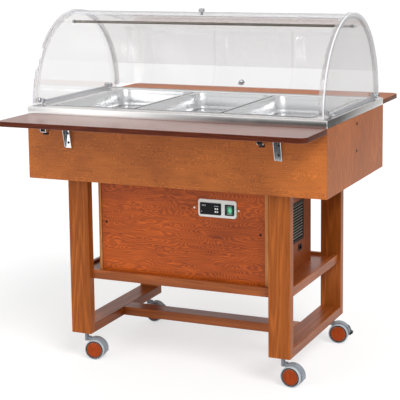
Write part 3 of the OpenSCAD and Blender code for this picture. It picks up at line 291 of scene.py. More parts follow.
# half length, half depth, height of the lower and upper edge, thickness, and half the gap of a mitre
case_x, case_y, case_low, case_high, case_t, joint = 568, 332, 680, 914.9, 20, 0.08
case_birch_x = stained_birch("stained_birch_case_front", 0, "#d67a32", "#98501f", 6.5, 0.75, 0.1)
case_birch_y = stained_birch("stained_birch_case_end", 2, "#bb6729", "#924c1c", 14, 0.2, 0.05, 0.15)
for name, side in (("case_front_board", -1), ("case_back_board", 1)):
    cut_plate(name, [(-case_x + joint, side * case_y), (case_x - joint, side * case_y),
                     (case_x - case_t - joint, side * (case_y - case_t)),
                     (case_t - case_x + joint, side * (case_y - case_t))],
              case_low, case_high, case_birch_x, "cart", "case_boards", 0.8)
for name, side in (("case_left_board", -1), ("case_right_board", 1)):
    cut_plate(name, [(side * case_x, joint - case_y), (side * case_x, case_y - joint),
                     (side * (case_x - case_t), case_y - case_t - joint),
                     (side * (case_x - case_t), case_t - case_y + joint)],
              case_low, case_high, case_birch_y, "cart", "case_boards", 0.8)


# ---- Case floor, foam and coil ----
# Inside the case, out of sight: a plywood floor, poured polyurethane foam round the well, and the
# copper tube that cools it. They keep their CAD shapes.
def plain_finish(name, colour, rough, grit_mm=0.0, depth_mm=0.0, spread=0.08, metal=0.0, coat=0.0, index=1.5):
    """A moulded, cast or painted surface: slightly uneven colour and gloss, fine relief."""
    finish, tree = start_finish(name)
    place = put(tree, "ShaderNodeTexCoord").outputs["Object"]
    mottle = put(tree, "ShaderNodeTexNoise", {"Scale": 35, "Detail": 4, "Roughness": 0.6}, {"Vector": place})
    dust = put(tree, "ShaderNodeMapRange", {"To Min": 1 - spread, "To Max": 1 + spread},
               {"Value": mottle.outputs["Fac"]})
    tint = put(tree, "ShaderNodeVectorMath", {"operation": "SCALE", 0: hex_colour(colour)[:3]},
               {"Scale": dust.outputs[0]})
    wear = put(tree, "ShaderNodeMapRange", {"To Min": rough * 0.85, "To Max": min(1, rough * 1.2)},
               {"Value": mottle.outputs["Fac"]})
    links = {"Base Color": tint.outputs[0], "Roughness": wear.outputs[0]}
    if grit_mm:
        grit = put(tree, "ShaderNodeTexNoise", {"Scale": 1000 / grit_mm, "Detail": 2}, {"Vector": place})
        relief = put(tree, "ShaderNodeBump", {"Strength": 0.3, "Distance": depth_mm / 1000},
                     {"Height": grit.outputs["Fac"]})
        links["Normal"] = relief.outputs[0]
    body = {"Metallic": metal, "Coat Weight": coat, "Coat Roughness": 0.15}
    if not metal:
        body["IOR"] = index
    shader = put(tree, "ShaderNodeBsdfPrincipled", body, links)
    put(tree, "ShaderNodeOutputMaterial", None, {"Surface": shader.outputs[0]})
    return finish


dress("case_floor", stained_birch("raw_birch_plywood", 0, "#dcc59c", "#b99b6b", 9, 0.5, 0.0, 0.5, 0.7))
dress("insulation", plain_finish("poured_polyurethane_foam", "#d9c98a", 0.9, 3.0, 0.8))
dress("evaporator_coil", plain_finish("drawn_copper_tube", "#c77d55", 0.3, metal=1.0))


# ---- Stainless top ----
# One sheet of 1.5 mm stainless folded down over the case, brushed along its length, with the well's
# opening pressed in. The folds leave a 3 mm bend that catches the light.
def brushed_steel(name, colour, rough, along, swing=0.10, scratch=0.25, line_mm=2.0, metal=1.0):
    """Stainless sheet: fine lines along one axis, drawn 2 mm apart because the real ones are finer."""
    finish, tree = start_finish(name)
    place = put(tree, "ShaderNodeTexCoord").outputs["Object"]
    thin = [1.0, 1.0, 1.0]
    thin[along] = 0.02
    drawn = put(tree, "ShaderNodeMapping", {"Scale": thin}, {"Vector": place})
    lines = put(tree, "ShaderNodeTexNoise", {"Scale": 1000 / line_mm, "Detail": 2, "Roughness": 0.7},
                {"Vector": drawn.outputs[0]})
    smear = put(tree, "ShaderNodeTexNoise", {"Scale": 7, "Detail": 2}, {"Vector": place})
    mixed = put(tree, "ShaderNodeMath", {"operation": "MULTIPLY_ADD", 1: 0.5},
                {0: lines.outputs["Fac"], 2: smear.outputs["Fac"]})
    gloss = put(tree, "ShaderNodeMapRange",
                {"From Min": 0.4, "From Max": 1.1, "To Min": rough - swing / 2, "To Max": rough + swing},
                {"Value": mixed.outputs[0]})
    shade = put(tree, "ShaderNodeMapRange",
                {"From Min": 0.4, "From Max": 1.1, "To Min": 0.93, "To Max": 1.05},
                {"Value": mixed.outputs[0]})
    tint = put(tree, "ShaderNodeVectorMath", {"operation": "SCALE", 0: hex_colour(colour)[:3]},
               {"Scale": shade.outputs[0]})
    relief = put(tree, "ShaderNodeBump", {"Strength": scratch, "Distance": 0.00005},
                 {"Height": lines.outputs["Fac"]})
    steel = put(tree, "ShaderNodeBsdfPrincipled", {"Metallic": metal},
                {"Base Color": tint.outputs[0], "Roughness": gloss.outputs[0], "Normal": relief.outputs[0]})
    put(tree, "ShaderNodeOutputMaterial", None, {"Surface": steel.outputs[0]})
    return finish


def ring_of(half_x, half_y, corner, height, at_x=0.0, at_y=0.0, steps=8):
    """A level loop in mm with rounded corners, always with the same number of points."""
    loop = []
    for quarter, (sx, sy) in enumerate(((1, 1), (-1, 1), (-1, -1), (1, -1))):
        for i in range(steps + 1):
            turn = math.radians(90 * (quarter + i / steps))
            loop.append(Vector((at_x + sx * (half_x - corner) + corner * math.cos(turn),
                                at_y + sy * (half_y - corner) + corner * math.sin(turn), height)) / 1000)
    return loop


def join_rows(mesh, rows, edge_sides=()):
    """Faces from each row of points to the next; the edge sides take the second finish."""
    for one, two in zip(rows, rows[1:]):
        for i in range(len(one)):
            j = (i + 1) % len(one)
            mesh.faces.new((one[i], one[j], two[j], two[i])).material_index = int(i in edge_sides)


def press_sheet(name, loops, finishes, body, node, closed=False, edge_sides=()):
    """Sheet or bar drawn through a row of equal loops; the edge sides and its ends take the second finish."""
    mesh = bmesh.new()
    rows = [[mesh.verts.new(p) for p in loop] for loop in loops]
    join_rows(mesh, rows + rows[:1] if closed else rows, edge_sides)
    for row in () if closed else (rows[0], rows[-1]):
        mesh.faces.new(row).material_index = int(bool(edge_sides))
    return keep_piece(mesh, name, finishes, body, node)


rim_low, top_z, sheet_t, bend = 916, 942, 1.5, 3
open_x, open_y, open_corner = 486.5, 257, 12
top_steel = brushed_steel("brushed_stainless_top", "#efedeb", 0.17, 0, swing=0.08)
# inset, corner radius and height: up the outside of the skirt and over the bend, and back inside it
outside = [(0, bend, rim_low), (0, bend, top_z - bend), (0.9, bend, top_z - 0.9), (bend, bend, top_z)]
inside = [(bend + 1, bend, top_z - sheet_t), (sheet_t, 2, top_z - bend - 1), (sheet_t, 2, rim_low + sheet_t),
          (case_t, 2, rim_low + sheet_t), (case_t, 2, rim_low)]
opening = [ring_of(open_x + lap, open_y + lap, open_corner, z)
           for lap, z in ((1, top_z), (0, top_z - 0.6), (0, top_z - sheet_t))]
outside, inside = [[ring_of(case_x - inset, case_y - inset, corner, z) for inset, corner, z in section]
                   for section in (outside, inside)]
press_sheet("stainless_top", outside + opening + inside, [top_steel], "cart", "rim_top",
            closed=True)
# satin inside; part of its shine is plain colour, for the light that its walls throw at one another
dress("cold_well", brushed_steel("drawn_stainless_well", "#c8c9c9", 0.45, 0, metal=0.45))
# the bars between the pans are painted dark grey: painted shade for the deep narrow gaps between the pan rims
dress("pan_bars", brushed_steel("stainless_bar_darkened_as_painted_shade", "#6a6a6a", 0.45, 1))


# ---- Food pans ----
# Three full-size pans, deep-drawn from 0.9 mm stainless and electro-polished: a flat rim, a shoulder
# that stops them from jamming when stacked, walls with a little draft, and wide soft corners.
pan_steel = brushed_steel("polished_pan_steel", "#dcddde", 0.28, 1, swing=0.08, scratch=0.1, line_mm=4)
pitch, skin, wall_foot = 332, 0.9, 884
# half width, half length, corner radius and height of the bowl, from the edge of the rim to the floor
rim = [(162.5, 265, 12, 942.2), (162.5, 265, 12, 943.0), (162.2, 264.7, 12, 943.2)]
bowl = [(154, 256.5, 44, 943.2), (152.2, 254.7, 43.8, 942.6), (151.2, 253.7, 43.4, 941.0),
        (150.9, 253.4, 43, 931.5), (149.6, 252.1, 42.5, 929.5), (148.3, 250.8, 42, 927.5),
        (145.2, 247.7, 39, 893), (144.2, 246.7, 38, 888), (141.6, 244.1, 36, 883.8),
        (137.6, 240.1, 33, 881.4), (131, 233.5, 30, 880.5), (60, 160, 12, 880.1)]
for place, name in ((-pitch, "left"), (0, "middle"), (pitch, "right")):
    inside = [ring_of(half_x, half_y, corner, z, place) for half_x, half_y, corner, z in rim + bowl]
    outside = []
    for half_x, half_y, corner, z in bowl:
        wall = skin if wall_foot < z < top_z else 0
        outside.append(ring_of(half_x + wall, half_y + wall, corner, z - skin, place))
    mesh = bmesh.new()
    inner, outer = [[[mesh.verts.new(p) for p in loop] for loop in loops] for loops in (inside, outside)]
    for rows in (inner, outer, (inner[0], outer[0])):
        join_rows(mesh, rows)
    for floor in (inner[-1], outer[-1]):
        mesh.faces.new(floor)
    node = "pan_" + name
    keep_piece(mesh, "food_" + node, [pan_steel], node, node, crease=40)


# ---- Dome ----
# Two curved flaps of cast acrylic slide in tracks on two flat end panels of the same sheet. The sawn
# edges are flame-polished and still look whiter than the faces.
def clear_sheet(name, tint, rough):
    """Clear cast acrylic: nearly colourless, with faint sweeping marks in its gloss."""
    finish, tree = start_finish(name)
    place = put(tree, "ShaderNodeTexCoord").outputs["Object"]
    sweep = put(tree, "ShaderNodeTexNoise", {"Scale": 3, "Detail": 2}, {"Vector": place})
    gloss = put(tree, "ShaderNodeMapRange", {"To Min": rough * 0.5, "To Max": rough * 1.5},
                {"Value": sweep.outputs["Fac"]})
    glass = put(tree, "ShaderNodeBsdfPrincipled",
                {"Base Color": hex_colour(tint), "IOR": 1.49, "Transmission Weight": 1.0},
                {"Roughness": gloss.outputs[0]})
    shadow = put(tree, "ShaderNodeBsdfTransparent", {"Color": (0.9, 0.9, 0.9, 1)})
    lamp_path = put(tree, "ShaderNodeLightPath")
    through = put(tree, "ShaderNodeMixShader", None,
                  {0: lamp_path.outputs["Is Shadow Ray"], 1: glass.outputs[0], 2: shadow.outputs[0]})
    put(tree, "ShaderNodeOutputMaterial", None, {"Surface": through.outputs[0]})
    return finish


acrylic = clear_sheet("clear_cast_acrylic", "#f0efef", 0.0)
acrylic_edge = plain_finish("polished_acrylic_edge", "#eeeff4", 0.3, coat=0.3, spread=0.03, index=1.49)
dome_z, dome_r, panel_foot = 953, 322, 944
panel_in, panel_out = 548, 553


def bent_bar(name, section, start, end, edge_sides, body, node, steps=96):
    """A bar or sheet bent round the dome's axis: section is (radius, x) in mm, angles from the front."""
    turns = [math.radians(start + (end - start) * i / steps) for i in range(steps + 1)]
    loops = [[Vector((x, -r * math.cos(turn), dome_z + r * math.sin(turn))) / 1000 for r, x in section]
             for turn in turns]
    return press_sheet(name, loops, [acrylic, acrylic_edge], body, node,
                       edge_sides=edge_sides)


# end panels: a half disc on a straight foot, with the sawn edge as its own finish; the two flaps
# run between three curved ribs on its inner face
half_turn = [math.radians(i * 1.5) for i in range(121)]
half_disc = [(-dome_r * math.cos(a), dome_z + dome_r * math.sin(a)) for a in half_turn]
outline = [(-dome_r, panel_foot)] + half_disc + [(dome_r, panel_foot)]
rib_reach, glue = 15, 0.02
ribs = (("outer", dome_r - 4.7, dome_r), ("middle", 312.7, 313.7), ("inner", 306.1, 309.1))
for side, name in ((-1, "left"), (1, "right")):
    mesh = draw_out(outline, side * panel_in, side * panel_out, "x", range(len(outline)))
    keep_piece(mesh, "end_panel_" + name, [acrylic, acrylic_edge], "cart", "end_panels")
    root, tip = side * (panel_in - glue), side * (panel_in - rib_reach)
    for part, low, high in ribs:
        bent_bar("track_%s_%s" % (part, name), [(low, root), (high, root), (high, tip), (low, tip)],
                 0, 180, (2,), "cart", "end_panels")

# inner and outer radius, and the angles of the two free edges: the front flap is pushed back and open
flap_x, front_skin, rear_skin = 546.5, 317, 312.4
for name, low, high, start, end in (("front_flap", 314, front_skin, 78.5, 163),
                                    ("rear_flap", 309.4, rear_skin, 84, 178.5)):
    bent_bar(name + "_sheet", [(low, -flap_x), (high, -flap_x), (high, flap_x), (low, flap_x)],
             start, end, (0, 2), name, name)


# ---- Knobs, nuts, tie rod and base rails of the dome ----
# Turned brass, nickel and chrome plated, polished to a mirror. The rails are extruded aluminium with
# fine ribs. The chrome shows the room, so it has little colour of its own.
chrome = plain_finish("polished_chrome_plate", "#bcbdc0", 0.05, metal=1.0, spread=0.02)
satin_aluminium = brushed_steel("anodised_aluminium_extrusion", "#e4e5e8", 0.3, 1)


def turn_part(name, profile, centre, aim, finish, body, node, steps=64, crease=35):
    """A part turned on a lathe: profile is (radius, height) in mm along the aim from the centre."""
    lathe = Vector(aim).to_track_quat("Z", "Y").to_matrix()
    mesh = bmesh.new()
    rows = []
    for radius, height in profile:
        turns = [2 * math.pi * i / steps for i in range(1 if radius == 0 else steps)]
        places = [lathe @ Vector((radius * math.cos(a), radius * math.sin(a), height)) for a in turns]
        rows.append([mesh.verts.new((Vector(centre) + place) / 1000) for place in places])
    for one, two in zip(rows, rows[1:]):
        for i in range(steps):
            j = (i + 1) % steps
            corners = [one[i % len(one)], one[j % len(one)], two[j % len(two)], two[i % len(two)]]
            corners = [v for k, v in enumerate(corners) if v not in corners[:k]]
            if len(corners) > 2:
                mesh.faces.new(corners)
    for row in (rows[0], rows[-1]):
        if len(row) > 1:
            mesh.faces.new(row)
    return keep_piece(mesh, name, [finish], body, node, crease)


def arc_points(centre_r, centre_h, radius, start, end, steps=8):
    """Points of a rounded corner in a turned profile."""
    return [(centre_r + radius * math.cos(math.radians(start + (end - start) * i / steps)),
             centre_h + radius * math.sin(math.radians(start + (end - start) * i / steps)))
            for i in range(steps + 1)]


# knobs: a flat head inside the flap, a washer, a neck and a waisted grip
for name, flap, at_angle, skin_r, neck in (("front_knob", "front_flap", 81.5, front_skin, 7),
                                           ("rear_knob", "rear_flap", 175.5, rear_skin, 11.6)):
    out = Vector((0, -math.cos(math.radians(at_angle)), math.sin(math.radians(at_angle))))
    foot = Vector((0, 0, dome_z)) + out * skin_r
    screw_end = [(0, -4.1), (5.5, -4.1), (6, -3.8), (6, -3.2), (3, -3.15), (3, 0)]
    washer = [(5.8, 0), (5.8, 1), (4.6, 2.2), (4.4, neck - 1), (5.2, neck)]
    grip = arc_points(7.5, neck + 4, 3.5, -90, 0, 4) + arc_points(7.0, neck + 9.2, 4, 0, 80, 6)
    crown = [(4, neck + 13.3), (0, neck + 13.5)]
    turn_part(name + "_turned", screw_end + washer + grip + crown, foot, out, chrome, flap, name)

nut_y, nut_z, rod_z = 262, 957, 1228
ball_nut = [(0, -12), (4, -12), (4, -0.1), (7.2, -0.1), (7.6, 1.2), (6.9, 2.6)]
ball_nut += arc_points(0, 9.3, 10.5, -42, 82, 14) + [(0, 19.8)]
nut_cap = [(6.4, 8.9), (6.2, 10.5), (5, 11.6), (0, 12)]
cap_nut = [(0, 0.05), (6.4, 0.05), (7, 0.7), (7, 5), (6.5, 5.8)]
cap_nut += arc_points(0, 6, 6.1, 0, 80, 8) + [(0, 12.1)]
knurl = [(8.4 if i % 2 else 7.5, 2 * math.pi * i / 48) for i in range(48)]
for side, side_name in ((-1, "left"), (1, "right")):
    for end, end_name in ((-1, "front"), (1, "rear")):
        tag = side_name + "_" + end_name
        turn_part("ball_nut_" + tag, ball_nut, Vector((side * panel_out, end * nut_y, nut_z)), (side, 0, 0),
                  chrome, "cart", "dome_nuts")
        outline = [(end * nut_y + r * math.cos(a), nut_z + r * math.sin(a)) for r, a in knurl]
        near, far = sorted((side * (panel_in - 9), side * (panel_in - 0.2)))
        cut_plate("ribbed_nut_" + tag, outline, near, far, chrome, "cart", "dome_nuts", 0.2, "x")
        turn_part("nut_cap_" + tag, nut_cap, Vector((side * panel_in, end * nut_y, nut_z)), (-side, 0, 0),
                  chrome, "cart", "dome_nuts")
    turn_part("cap_nut_" + side_name, cap_nut, Vector((side * panel_out, 0, rod_z)), (side, 0, 0),
              chrome, "cart", "dome_nuts")
dress("tie_rod", plain_finish("polished_stainless_rod", "#807b74", 0.16, metal=1.0, spread=0.03))

# base rails: a foot and two ribbed lips, with the end panel standing in the slot between them
rail_half = 249.5
half_rail = [(10, 942.05), (10, 945.6), (9, 946), (5.5, 946), (5.5, 948.6), (4.9, 949), (4.9, 950),
             (5.5, 950.4), (5.5, 952), (4.9, 952.4), (4.9, 953.4), (5.5, 953.8), (5.5, 955.6), (5, 956),
             (2.6, 956), (2.6, 944.1)]
for side, side_name in ((-1, "left"), (1, "right")):
    middle = side * (panel_in + panel_out) / 2
    profile = [(middle - x, z) for x, z in half_rail] + [(middle + x, z) for x, z in half_rail[::-1]]
    keep_piece(draw_out(profile, -rail_half, rail_half, "y"), "base_rail_" + side_name, [satin_aluminium],
               "cart", "base_rails")


# ---- Tray shelves ----
# Birch plywood boards with rounded outer corners and a 2.5 mm round-over. The front one is stained dark
# and lacquered to a shine, so that it mirrors the sky at a low angle; the rear one is paler and satin.
shelf_birch = stained_birch("lacquered_birch_shelf", 0, "#9a4a28", "#642a13", 10, 0.3, 0.6, 0.4, 0.3)
# the front board's cut edge: stained dark, and darkened further as painted shade for the shadow that lies
# along it
front_edge_stain_and_shade = stained_birch("stained_birch_cut_edge_and_painted_shade", 0, "#642a13", "#3c1408", 16, 0.12, 0.05, 0.15)
satin_birch = stained_birch("satin_birch_rear_shelf", 0, "#bd6626", "#874618", 10, 0.3, 0.0, 0.12)
satin_edge = stained_birch("satin_birch_cut_edge", 0, "#71380f", "#43200a", 16, 0.12, 0.0, 0.12)
shelf_near, shelf_far, shelf_corner, shelf_t = 334, 547, 28, 18
front_low, rear_raise = 898, 18
for side, name, low, top_finish, rim_finish in (
        (-1, "front_shelf", front_low, shelf_birch, front_edge_stain_and_shade),
        (1, "rear_shelf", front_low + rear_raise, satin_birch, satin_edge)):
    start, middle = case_x - shelf_corner, shelf_far - shelf_corner
    outline = [(-case_x, side * shelf_near), (-case_x, side * middle)]
    for degrees in range(10, 91, 10):
        a = math.radians(degrees)
        outline.append((-start - shelf_corner * math.cos(a), side * (middle + shelf_corner * math.sin(a))))
    for degrees in range(0, 91, 10):
        a = math.radians(degrees)
        outline.append((start + shelf_corner * math.sin(a), side * (middle + shelf_corner * math.cos(a))))
    outline.append((case_x, side * shelf_near))
    cut_plate(name + "_board", outline, low, low + shelf_t, top_finish, name, name, 2.5,
              rim=rim_finish)


# ---- Folding brackets ----
# Channels stamped from 1.5 mm steel sheet and chrome plated, a wall leg and a swinging arm, with a
# black nylon release lever through the arm. They keep their CAD shapes, with the edges rounded.
def rounded_copy(node, finish, width, body, front=None):
    """A CAD part's own shape with its edges rounded, width in mm; front is the finish of its front faces."""
    mesh = bmesh.new()
    mesh.from_mesh(parts[node].data)
    mesh.transform(parts[node].matrix_world)
    bmesh.ops.remove_doubles(mesh, verts=mesh.verts, dist=0.00001)
    bmesh.ops.dissolve_limit(mesh, angle_limit=math.radians(1), verts=mesh.verts, edges=mesh.edges)
    mesh.normal_update()
    for face in mesh.faces:
        face.material_index = 1 if front and face.normal.y < -0.9 else 0
    finishes = [finish, front] if front else [finish]
    return ease_edges(keep_piece(mesh, node + "_rounded", finishes, body, node), width / 1000)


plated_sheet = plain_finish("chrome_plated_sheet", "#e2e4e6", 0.06, metal=1.0, spread=0.03)
black_nylon = plain_finish("moulded_black_nylon", "#141416", 0.42, 1.5, 0.05)
for node, body in (("bracket_legs", "cart"), ("front_arms", "front_shelf"), ("rear_arms", "rear_shelf")):
    rounded_copy(node, plated_sheet, 0.4, body)
for node in ("lever_fl", "lever_fr", "lever_rl", "lever_rr"):
    rounded_copy(node, black_nylon, 0.5, node)

# screws and pins: pan heads with a recess, blackened, and nickel plated on either side of the control plate
dark_screw = plain_finish("blackened_steel_screw", "#3a3334", 0.35, metal=1.0)
bright_screw = plain_finish("nickel_plated_screw", "#f0f0ee", 0.3, metal=1.0)


def screw(name, at, aim, head_d, head_h, shank_d, shank_l, finish):
    """A pan-head screw driven in at a point in mm, its head outwards along the aim."""
    turn_part(name, [(0, -shank_l), (shank_d / 2, -shank_l), (shank_d / 2, 0.02), (head_d / 2, 0.02),
                     (head_d / 2, head_h * 0.4), (head_d * 0.43, head_h * 0.75), (head_d * 0.3, head_h),
                     (head_d * 0.17, head_h), (head_d * 0.11, head_h * 0.4), (0, head_h * 0.35)],
              Vector(at), aim, finish, "cart", "fixings", 24)


bracket_x, pin_y, pin_z, wall_y = 400, 346, 878, case_y + 1.5
hinge_pin = [(0, -15), (4, -15), (4.5, -14.7), (4.5, -13.7), (3, -13.6), (3, 13.6), (4.5, 13.7), (4.5, 14.7),
             (4, 15), (0, 15)]
wall_screw_z, case_screw_z = (819, 852), (792, 888)
panel_y, panel_screw_x, panel_screw_z = -246, 300, 520
plate_screw_x, plate_screw_reach, plate_screw_z = 135, 84, 599
for sy, end, raised in ((-1, "front", 0), (1, "rear", rear_raise)):
    for sx, side in ((-1, "left"), (1, "right")):
        turn_part("hinge_pin_%s_%s" % (end, side), hinge_pin,
                  Vector((sx * bracket_x, sy * pin_y, pin_z + raised)), (1, 0, 0), dark_screw,
                  "cart", "fixings", 32)
        for z in wall_screw_z:
            screw("wall_screw_%s_%s_%d" % (end, side, z), (sx * bracket_x, sy * wall_y, z + raised),
                  (0, sy, 0), 9, 2.6, 5, 15, dark_screw)
for sx, side in ((-1, "left"), (1, "right")):
    for z in case_screw_z:
        screw("case_screw_%s_%d" % (side, z), (sx * case_x, 0, z), (sx, 0, 0), 13, 1.4, 5, 12, dark_screw)
    screw("panel_screw_" + side, (sx * panel_screw_x, panel_y, panel_screw_z), (0, -1, 0),
          9, 2, 4, 11, dark_screw)
    screw("plate_screw_" + side, (plate_screw_x + sx * plate_screw_reach, panel_y, plate_screw_z), (0, -1, 0),
          7, 1.4, 3.5, 9, bright_screw)


# ---- Base frame ----
# Solid birch, planed and stained: four flat legs, two bottom rails tenoned between them, a stretcher
# along the middle, and a tray board in a frame of thin rails.
leg_birch = stained_birch("stained_birch_leg", 2, "#bb672a", "#824215", 18, 0.05, 0.05, 0.15)
rail_birch_x = stained_birch("stained_birch_rail_long", 0, "#b0602a", "#7a3b15", 26, 0.05, 0.15)
rail_birch_y = stained_birch("stained_birch_rail_short", 1, "#ac5d28", "#773914", 26, 0.05, 0.08, 0.2)
tray_birch = stained_birch("stained_birch_tray", 0, "#9c5026", "#6c3315", 9, 0.5, 0.25)
# inner and outer faces, one way from the middle, and lower and upper faces; the boards end 0.05 mm
# short of what they meet, which is the glue line
leg_x, leg_y, leg_z = (347, 427), (265, 298), (104, 679.95)
low_rail_z, tray_rail_z, tray_z = (104, 137), (311, 344), (322, 334)
tray_side_x, tray_front_y, stretcher_y = (401, 416), (263, 278), (-34, 34)
between_x, between_y = (-346.95, 346.95), (-264.95, 264.95)


def both_ways(span, sign):
    """A span from the middle outwards, on the side that the sign says."""
    return tuple(sorted(sign * place for place in span))


def frame_board(name, x, y, z, finish, node, edge):
    """A straight wooden board between two faces along each axis, fixed to the cart."""
    cut_plate(name, [(x[0], y[0]), (x[1], y[0]), (x[1], y[1]), (x[0], y[1])], z[0], z[1], finish, "cart",
              node, edge)


for sx, side, facing in ((-1, "left", "front"), (1, "right", "rear")):
    for sy, end in ((-1, "front"), (1, "rear")):
        frame_board("leg_%s_%s" % (side, end), both_ways(leg_x, sx), both_ways(leg_y, sy), leg_z, leg_birch,
                    "legs", 1.5)
    frame_board("bottom_rail_" + side, both_ways(leg_x, sx), between_y, low_rail_z, rail_birch_y,
                "bottom_rails", 1.5)
    frame_board("tray_rail_" + side, both_ways(tray_side_x, sx), between_y, tray_rail_z, rail_birch_y,
                "tray_rails", 1)
    frame_board("tray_rail_" + facing, between_x, both_ways(tray_front_y, sx), tray_rail_z, rail_birch_x,
                "tray_rails", 1)
frame_board("stretcher_board", (-346.9, 346.9), stretcher_y, low_rail_z, rail_birch_x, "stretcher", 1.5)
frame_board("tray_board", (-400.9, 400.9), (-262.9, 262.9), tray_z, tray_birch, "tray_panel", 0.3)


# ---- Box of the cooling unit ----
# Stained plywood boards with paler cut edges, and a front panel of redder veneer with a bold flame
# figure. The louvre and the mains inlet are moulded black plastic.
box_birch = stained_birch("stained_plywood_box_side", 2, "#a9572a", "#7c3b18", 9, 0.4, 0.15)
pale_edge = stained_birch("pale_plywood_edge", 2, "#dc9a5c", "#a8622e", 4, 0.05, 0.05)
flame_panel = stained_birch("stained_sapele_front_panel", 0, "#d3631a", "#6c2807", 6, 0.3, 0.1)
rounded_copy("box_boards", box_birch, 1.0, "cart", front=pale_edge)
rounded_copy("box_front_panel", flame_panel, 1.0, "cart")
dress("side_catch", plain_finish("zinc_plated_catch", "#a7a8aa", 0.28, metal=1.0))

# louvre: a moulded frame through the side board, with slats that slope outwards; their noses and upper lips
# carry a painted highlight, a pale grey for the light they catch
louvre_black = plain_finish("moulded_black_louvre", "#0f0e0e", 0.5, 1.2, 0.05)
# pale grey on the noses and upper lips of the slats: painted highlight
painted_highlight_lip = plain_finish("pale_lip_of_slat_as_painted_highlight", "#c9c7c3", 0.5, 1.5, 0.05)
frame_y, frame_z, half_l, half_h = -27, 508, 142.5, 75
# inset from the frame's outer edge, and place along X, round the frame's section
frame_section = [(0, 330.05), (0, 331.2), (0.8, 332), (11.6, 332), (12.3, 331.3), (12.3, 312.2),
                 (10.1, 312.2), (10.1, 330.05)]
loops = [[Vector((x, frame_y + sy * (half_l - inset), frame_z + sz * (half_h - inset))) / 1000
          for sy, sz in ((-1, -1), (1, -1), (1, 1), (-1, 1))] for inset, x in frame_section]
ease_edges(press_sheet("louvre_frame", loops, [louvre_black], "cart", "louvre", closed=True),
           0.0004)
slope, slat_x, slat_pitch, slats = math.radians(40), 325, 10.6, 13
slat_half = half_l - 12.4
# length along the slope and thickness across it
slat_section = [(-7.3, -0.6), (7.0, -0.6), (7.4, -0.2), (7.4, 0.3), (7.0, 0.6), (5.2, 0.6), (-7.3, 0.6)]
for number in range(slats):
    middle = frame_z + (number - slats // 2) * slat_pitch
    outline = [(slat_x + a * math.cos(slope) + b * math.sin(slope),
                middle - a * math.sin(slope) + b * math.cos(slope)) for a, b in slat_section]
    mesh = draw_out(outline, frame_y - slat_half, frame_y + slat_half, "y", (2, 3, 4))
    keep_piece(mesh, "louvre_slat_%02d" % number, [louvre_black, painted_highlight_lip], "cart", "louvre")
rounded_copy("power_inlet", black_nylon, 0.5, "cart")


# ---- Control plate, thermostat, keys and switch ----
# A white moulded plate screwed to the panel, a black digital thermostat with four small keys, and a
# green rocker switch that glows through its plastic when lit.
white_abs = plain_finish("moulded_white_abs", "#e4e5e3", 0.4, 1.2, 0.04, spread=0.03)
black_abs = plain_finish("moulded_black_abs", "#0d0f14", 0.4, 1.0, 0.03, index=1.3)
window = plain_finish("smoked_display_window", "#050609", 0.12, spread=0.03, index=1.3)
lit_digit = plain_finish("pale_blue_display_digit", "#e6effc", 0.4, spread=0.03)
key_grey = plain_finish("silicone_key", "#ecece9", 0.5, 1.0, 0.03, spread=0.03)


def rounded_outline(x, z, length, height, corner, steps=6):
    """A rounded rectangle in mm, as X and Z pairs."""
    return [(1000 * p.x + x, 1000 * p.y + z) for p in ring_of(length / 2, height / 2, corner, 0, steps=steps)]


def front_plate(name, x, z, length, height, corner, near, far, finish, node, edge, body="cart"):
    """A rounded plate on the front panel: its middle, its size, and its faces from the plate's plane."""
    return cut_plate(name, rounded_outline(x, z, length, height, corner), plate_y + near, plate_y + far,
                     finish, body, node, edge, "y")


plate_y, plate_x, plate_z = -250, 140, 601.5
bezel_x, bezel_z = 115, 600
front_plate("control_plate_body", plate_x, plate_z, 145, 63, 10, 0, 4, white_abs,
            "control_plate", 1.2)
front_plate("thermostat_bezel", bezel_x, bezel_z, 80, 42, 3, -3, 0.5, black_abs,
            "thermostat", 0.8)
front_plate("thermostat_body", bezel_x, bezel_z, 70, 30, 1, 0.5, 45, black_abs,
            "thermostat", 0.3)
front_plate("thermostat_window", 102, 605.5, 46, 23, 1.5, -3.15, -2.5, window,
            "thermostat", 0.1)

# digits of up to seven bars in the window; a bar goes from one corner of the digit's grid to another
wide, tall, half_bar, digits_z, digits_y = 2.6, 2.2, 0.35, 609, plate_y - 3.25
strokes = {"a": (0, 2, 1, 2), "b": (1, 1, 1, 2), "c": (1, 0, 1, 1), "d": (0, 0, 1, 0), "e": (0, 0, 0, 1),
           "f": (0, 1, 0, 2), "g": (0, 1, 1, 1)}
for at, (left, lit) in enumerate(((83, "bcfg"), (87.6, "abcdef"), (94, "abcdg"))):
    for key in lit:
        x0, z0, x1, z1 = strokes[key]
        x0, x1 = left + x0 * wide - half_bar, left + x1 * wide + half_bar
        z0, z1 = digits_z + z0 * tall - half_bar, digits_z + z1 * tall + half_bar
        cut_plate("digit_%d_%s" % (at, key), [(x0, z0), (x1, z0), (x1, z1), (x0, z1)], digits_y,
                  digits_y + 0.15, lit_digit, "cart", None, 0.02, "y")

# a dash and a dot printed on the bezel, and the four keys below the dash
front_plate("thermostat_dash", 138, 611, 16, 1.4, 0.6, -3.15, -2.9, lit_digit, None, 0.05)
front_plate("thermostat_dot", 82, 589, 2.4, 2.4, 1.1, -3.3, -2.9, lit_digit, None, 0.05)
key_x, key_z = (134.5, 142), (601.2, 590.8)
for number, (z, x) in enumerate([(z, x) for z in key_z for x in key_x], 1):
    node = "key_%d" % number
    front_plate(node + "_cap", x, z, 5, 6, 1, -4, 4, key_grey, node, 0.5, body=node)

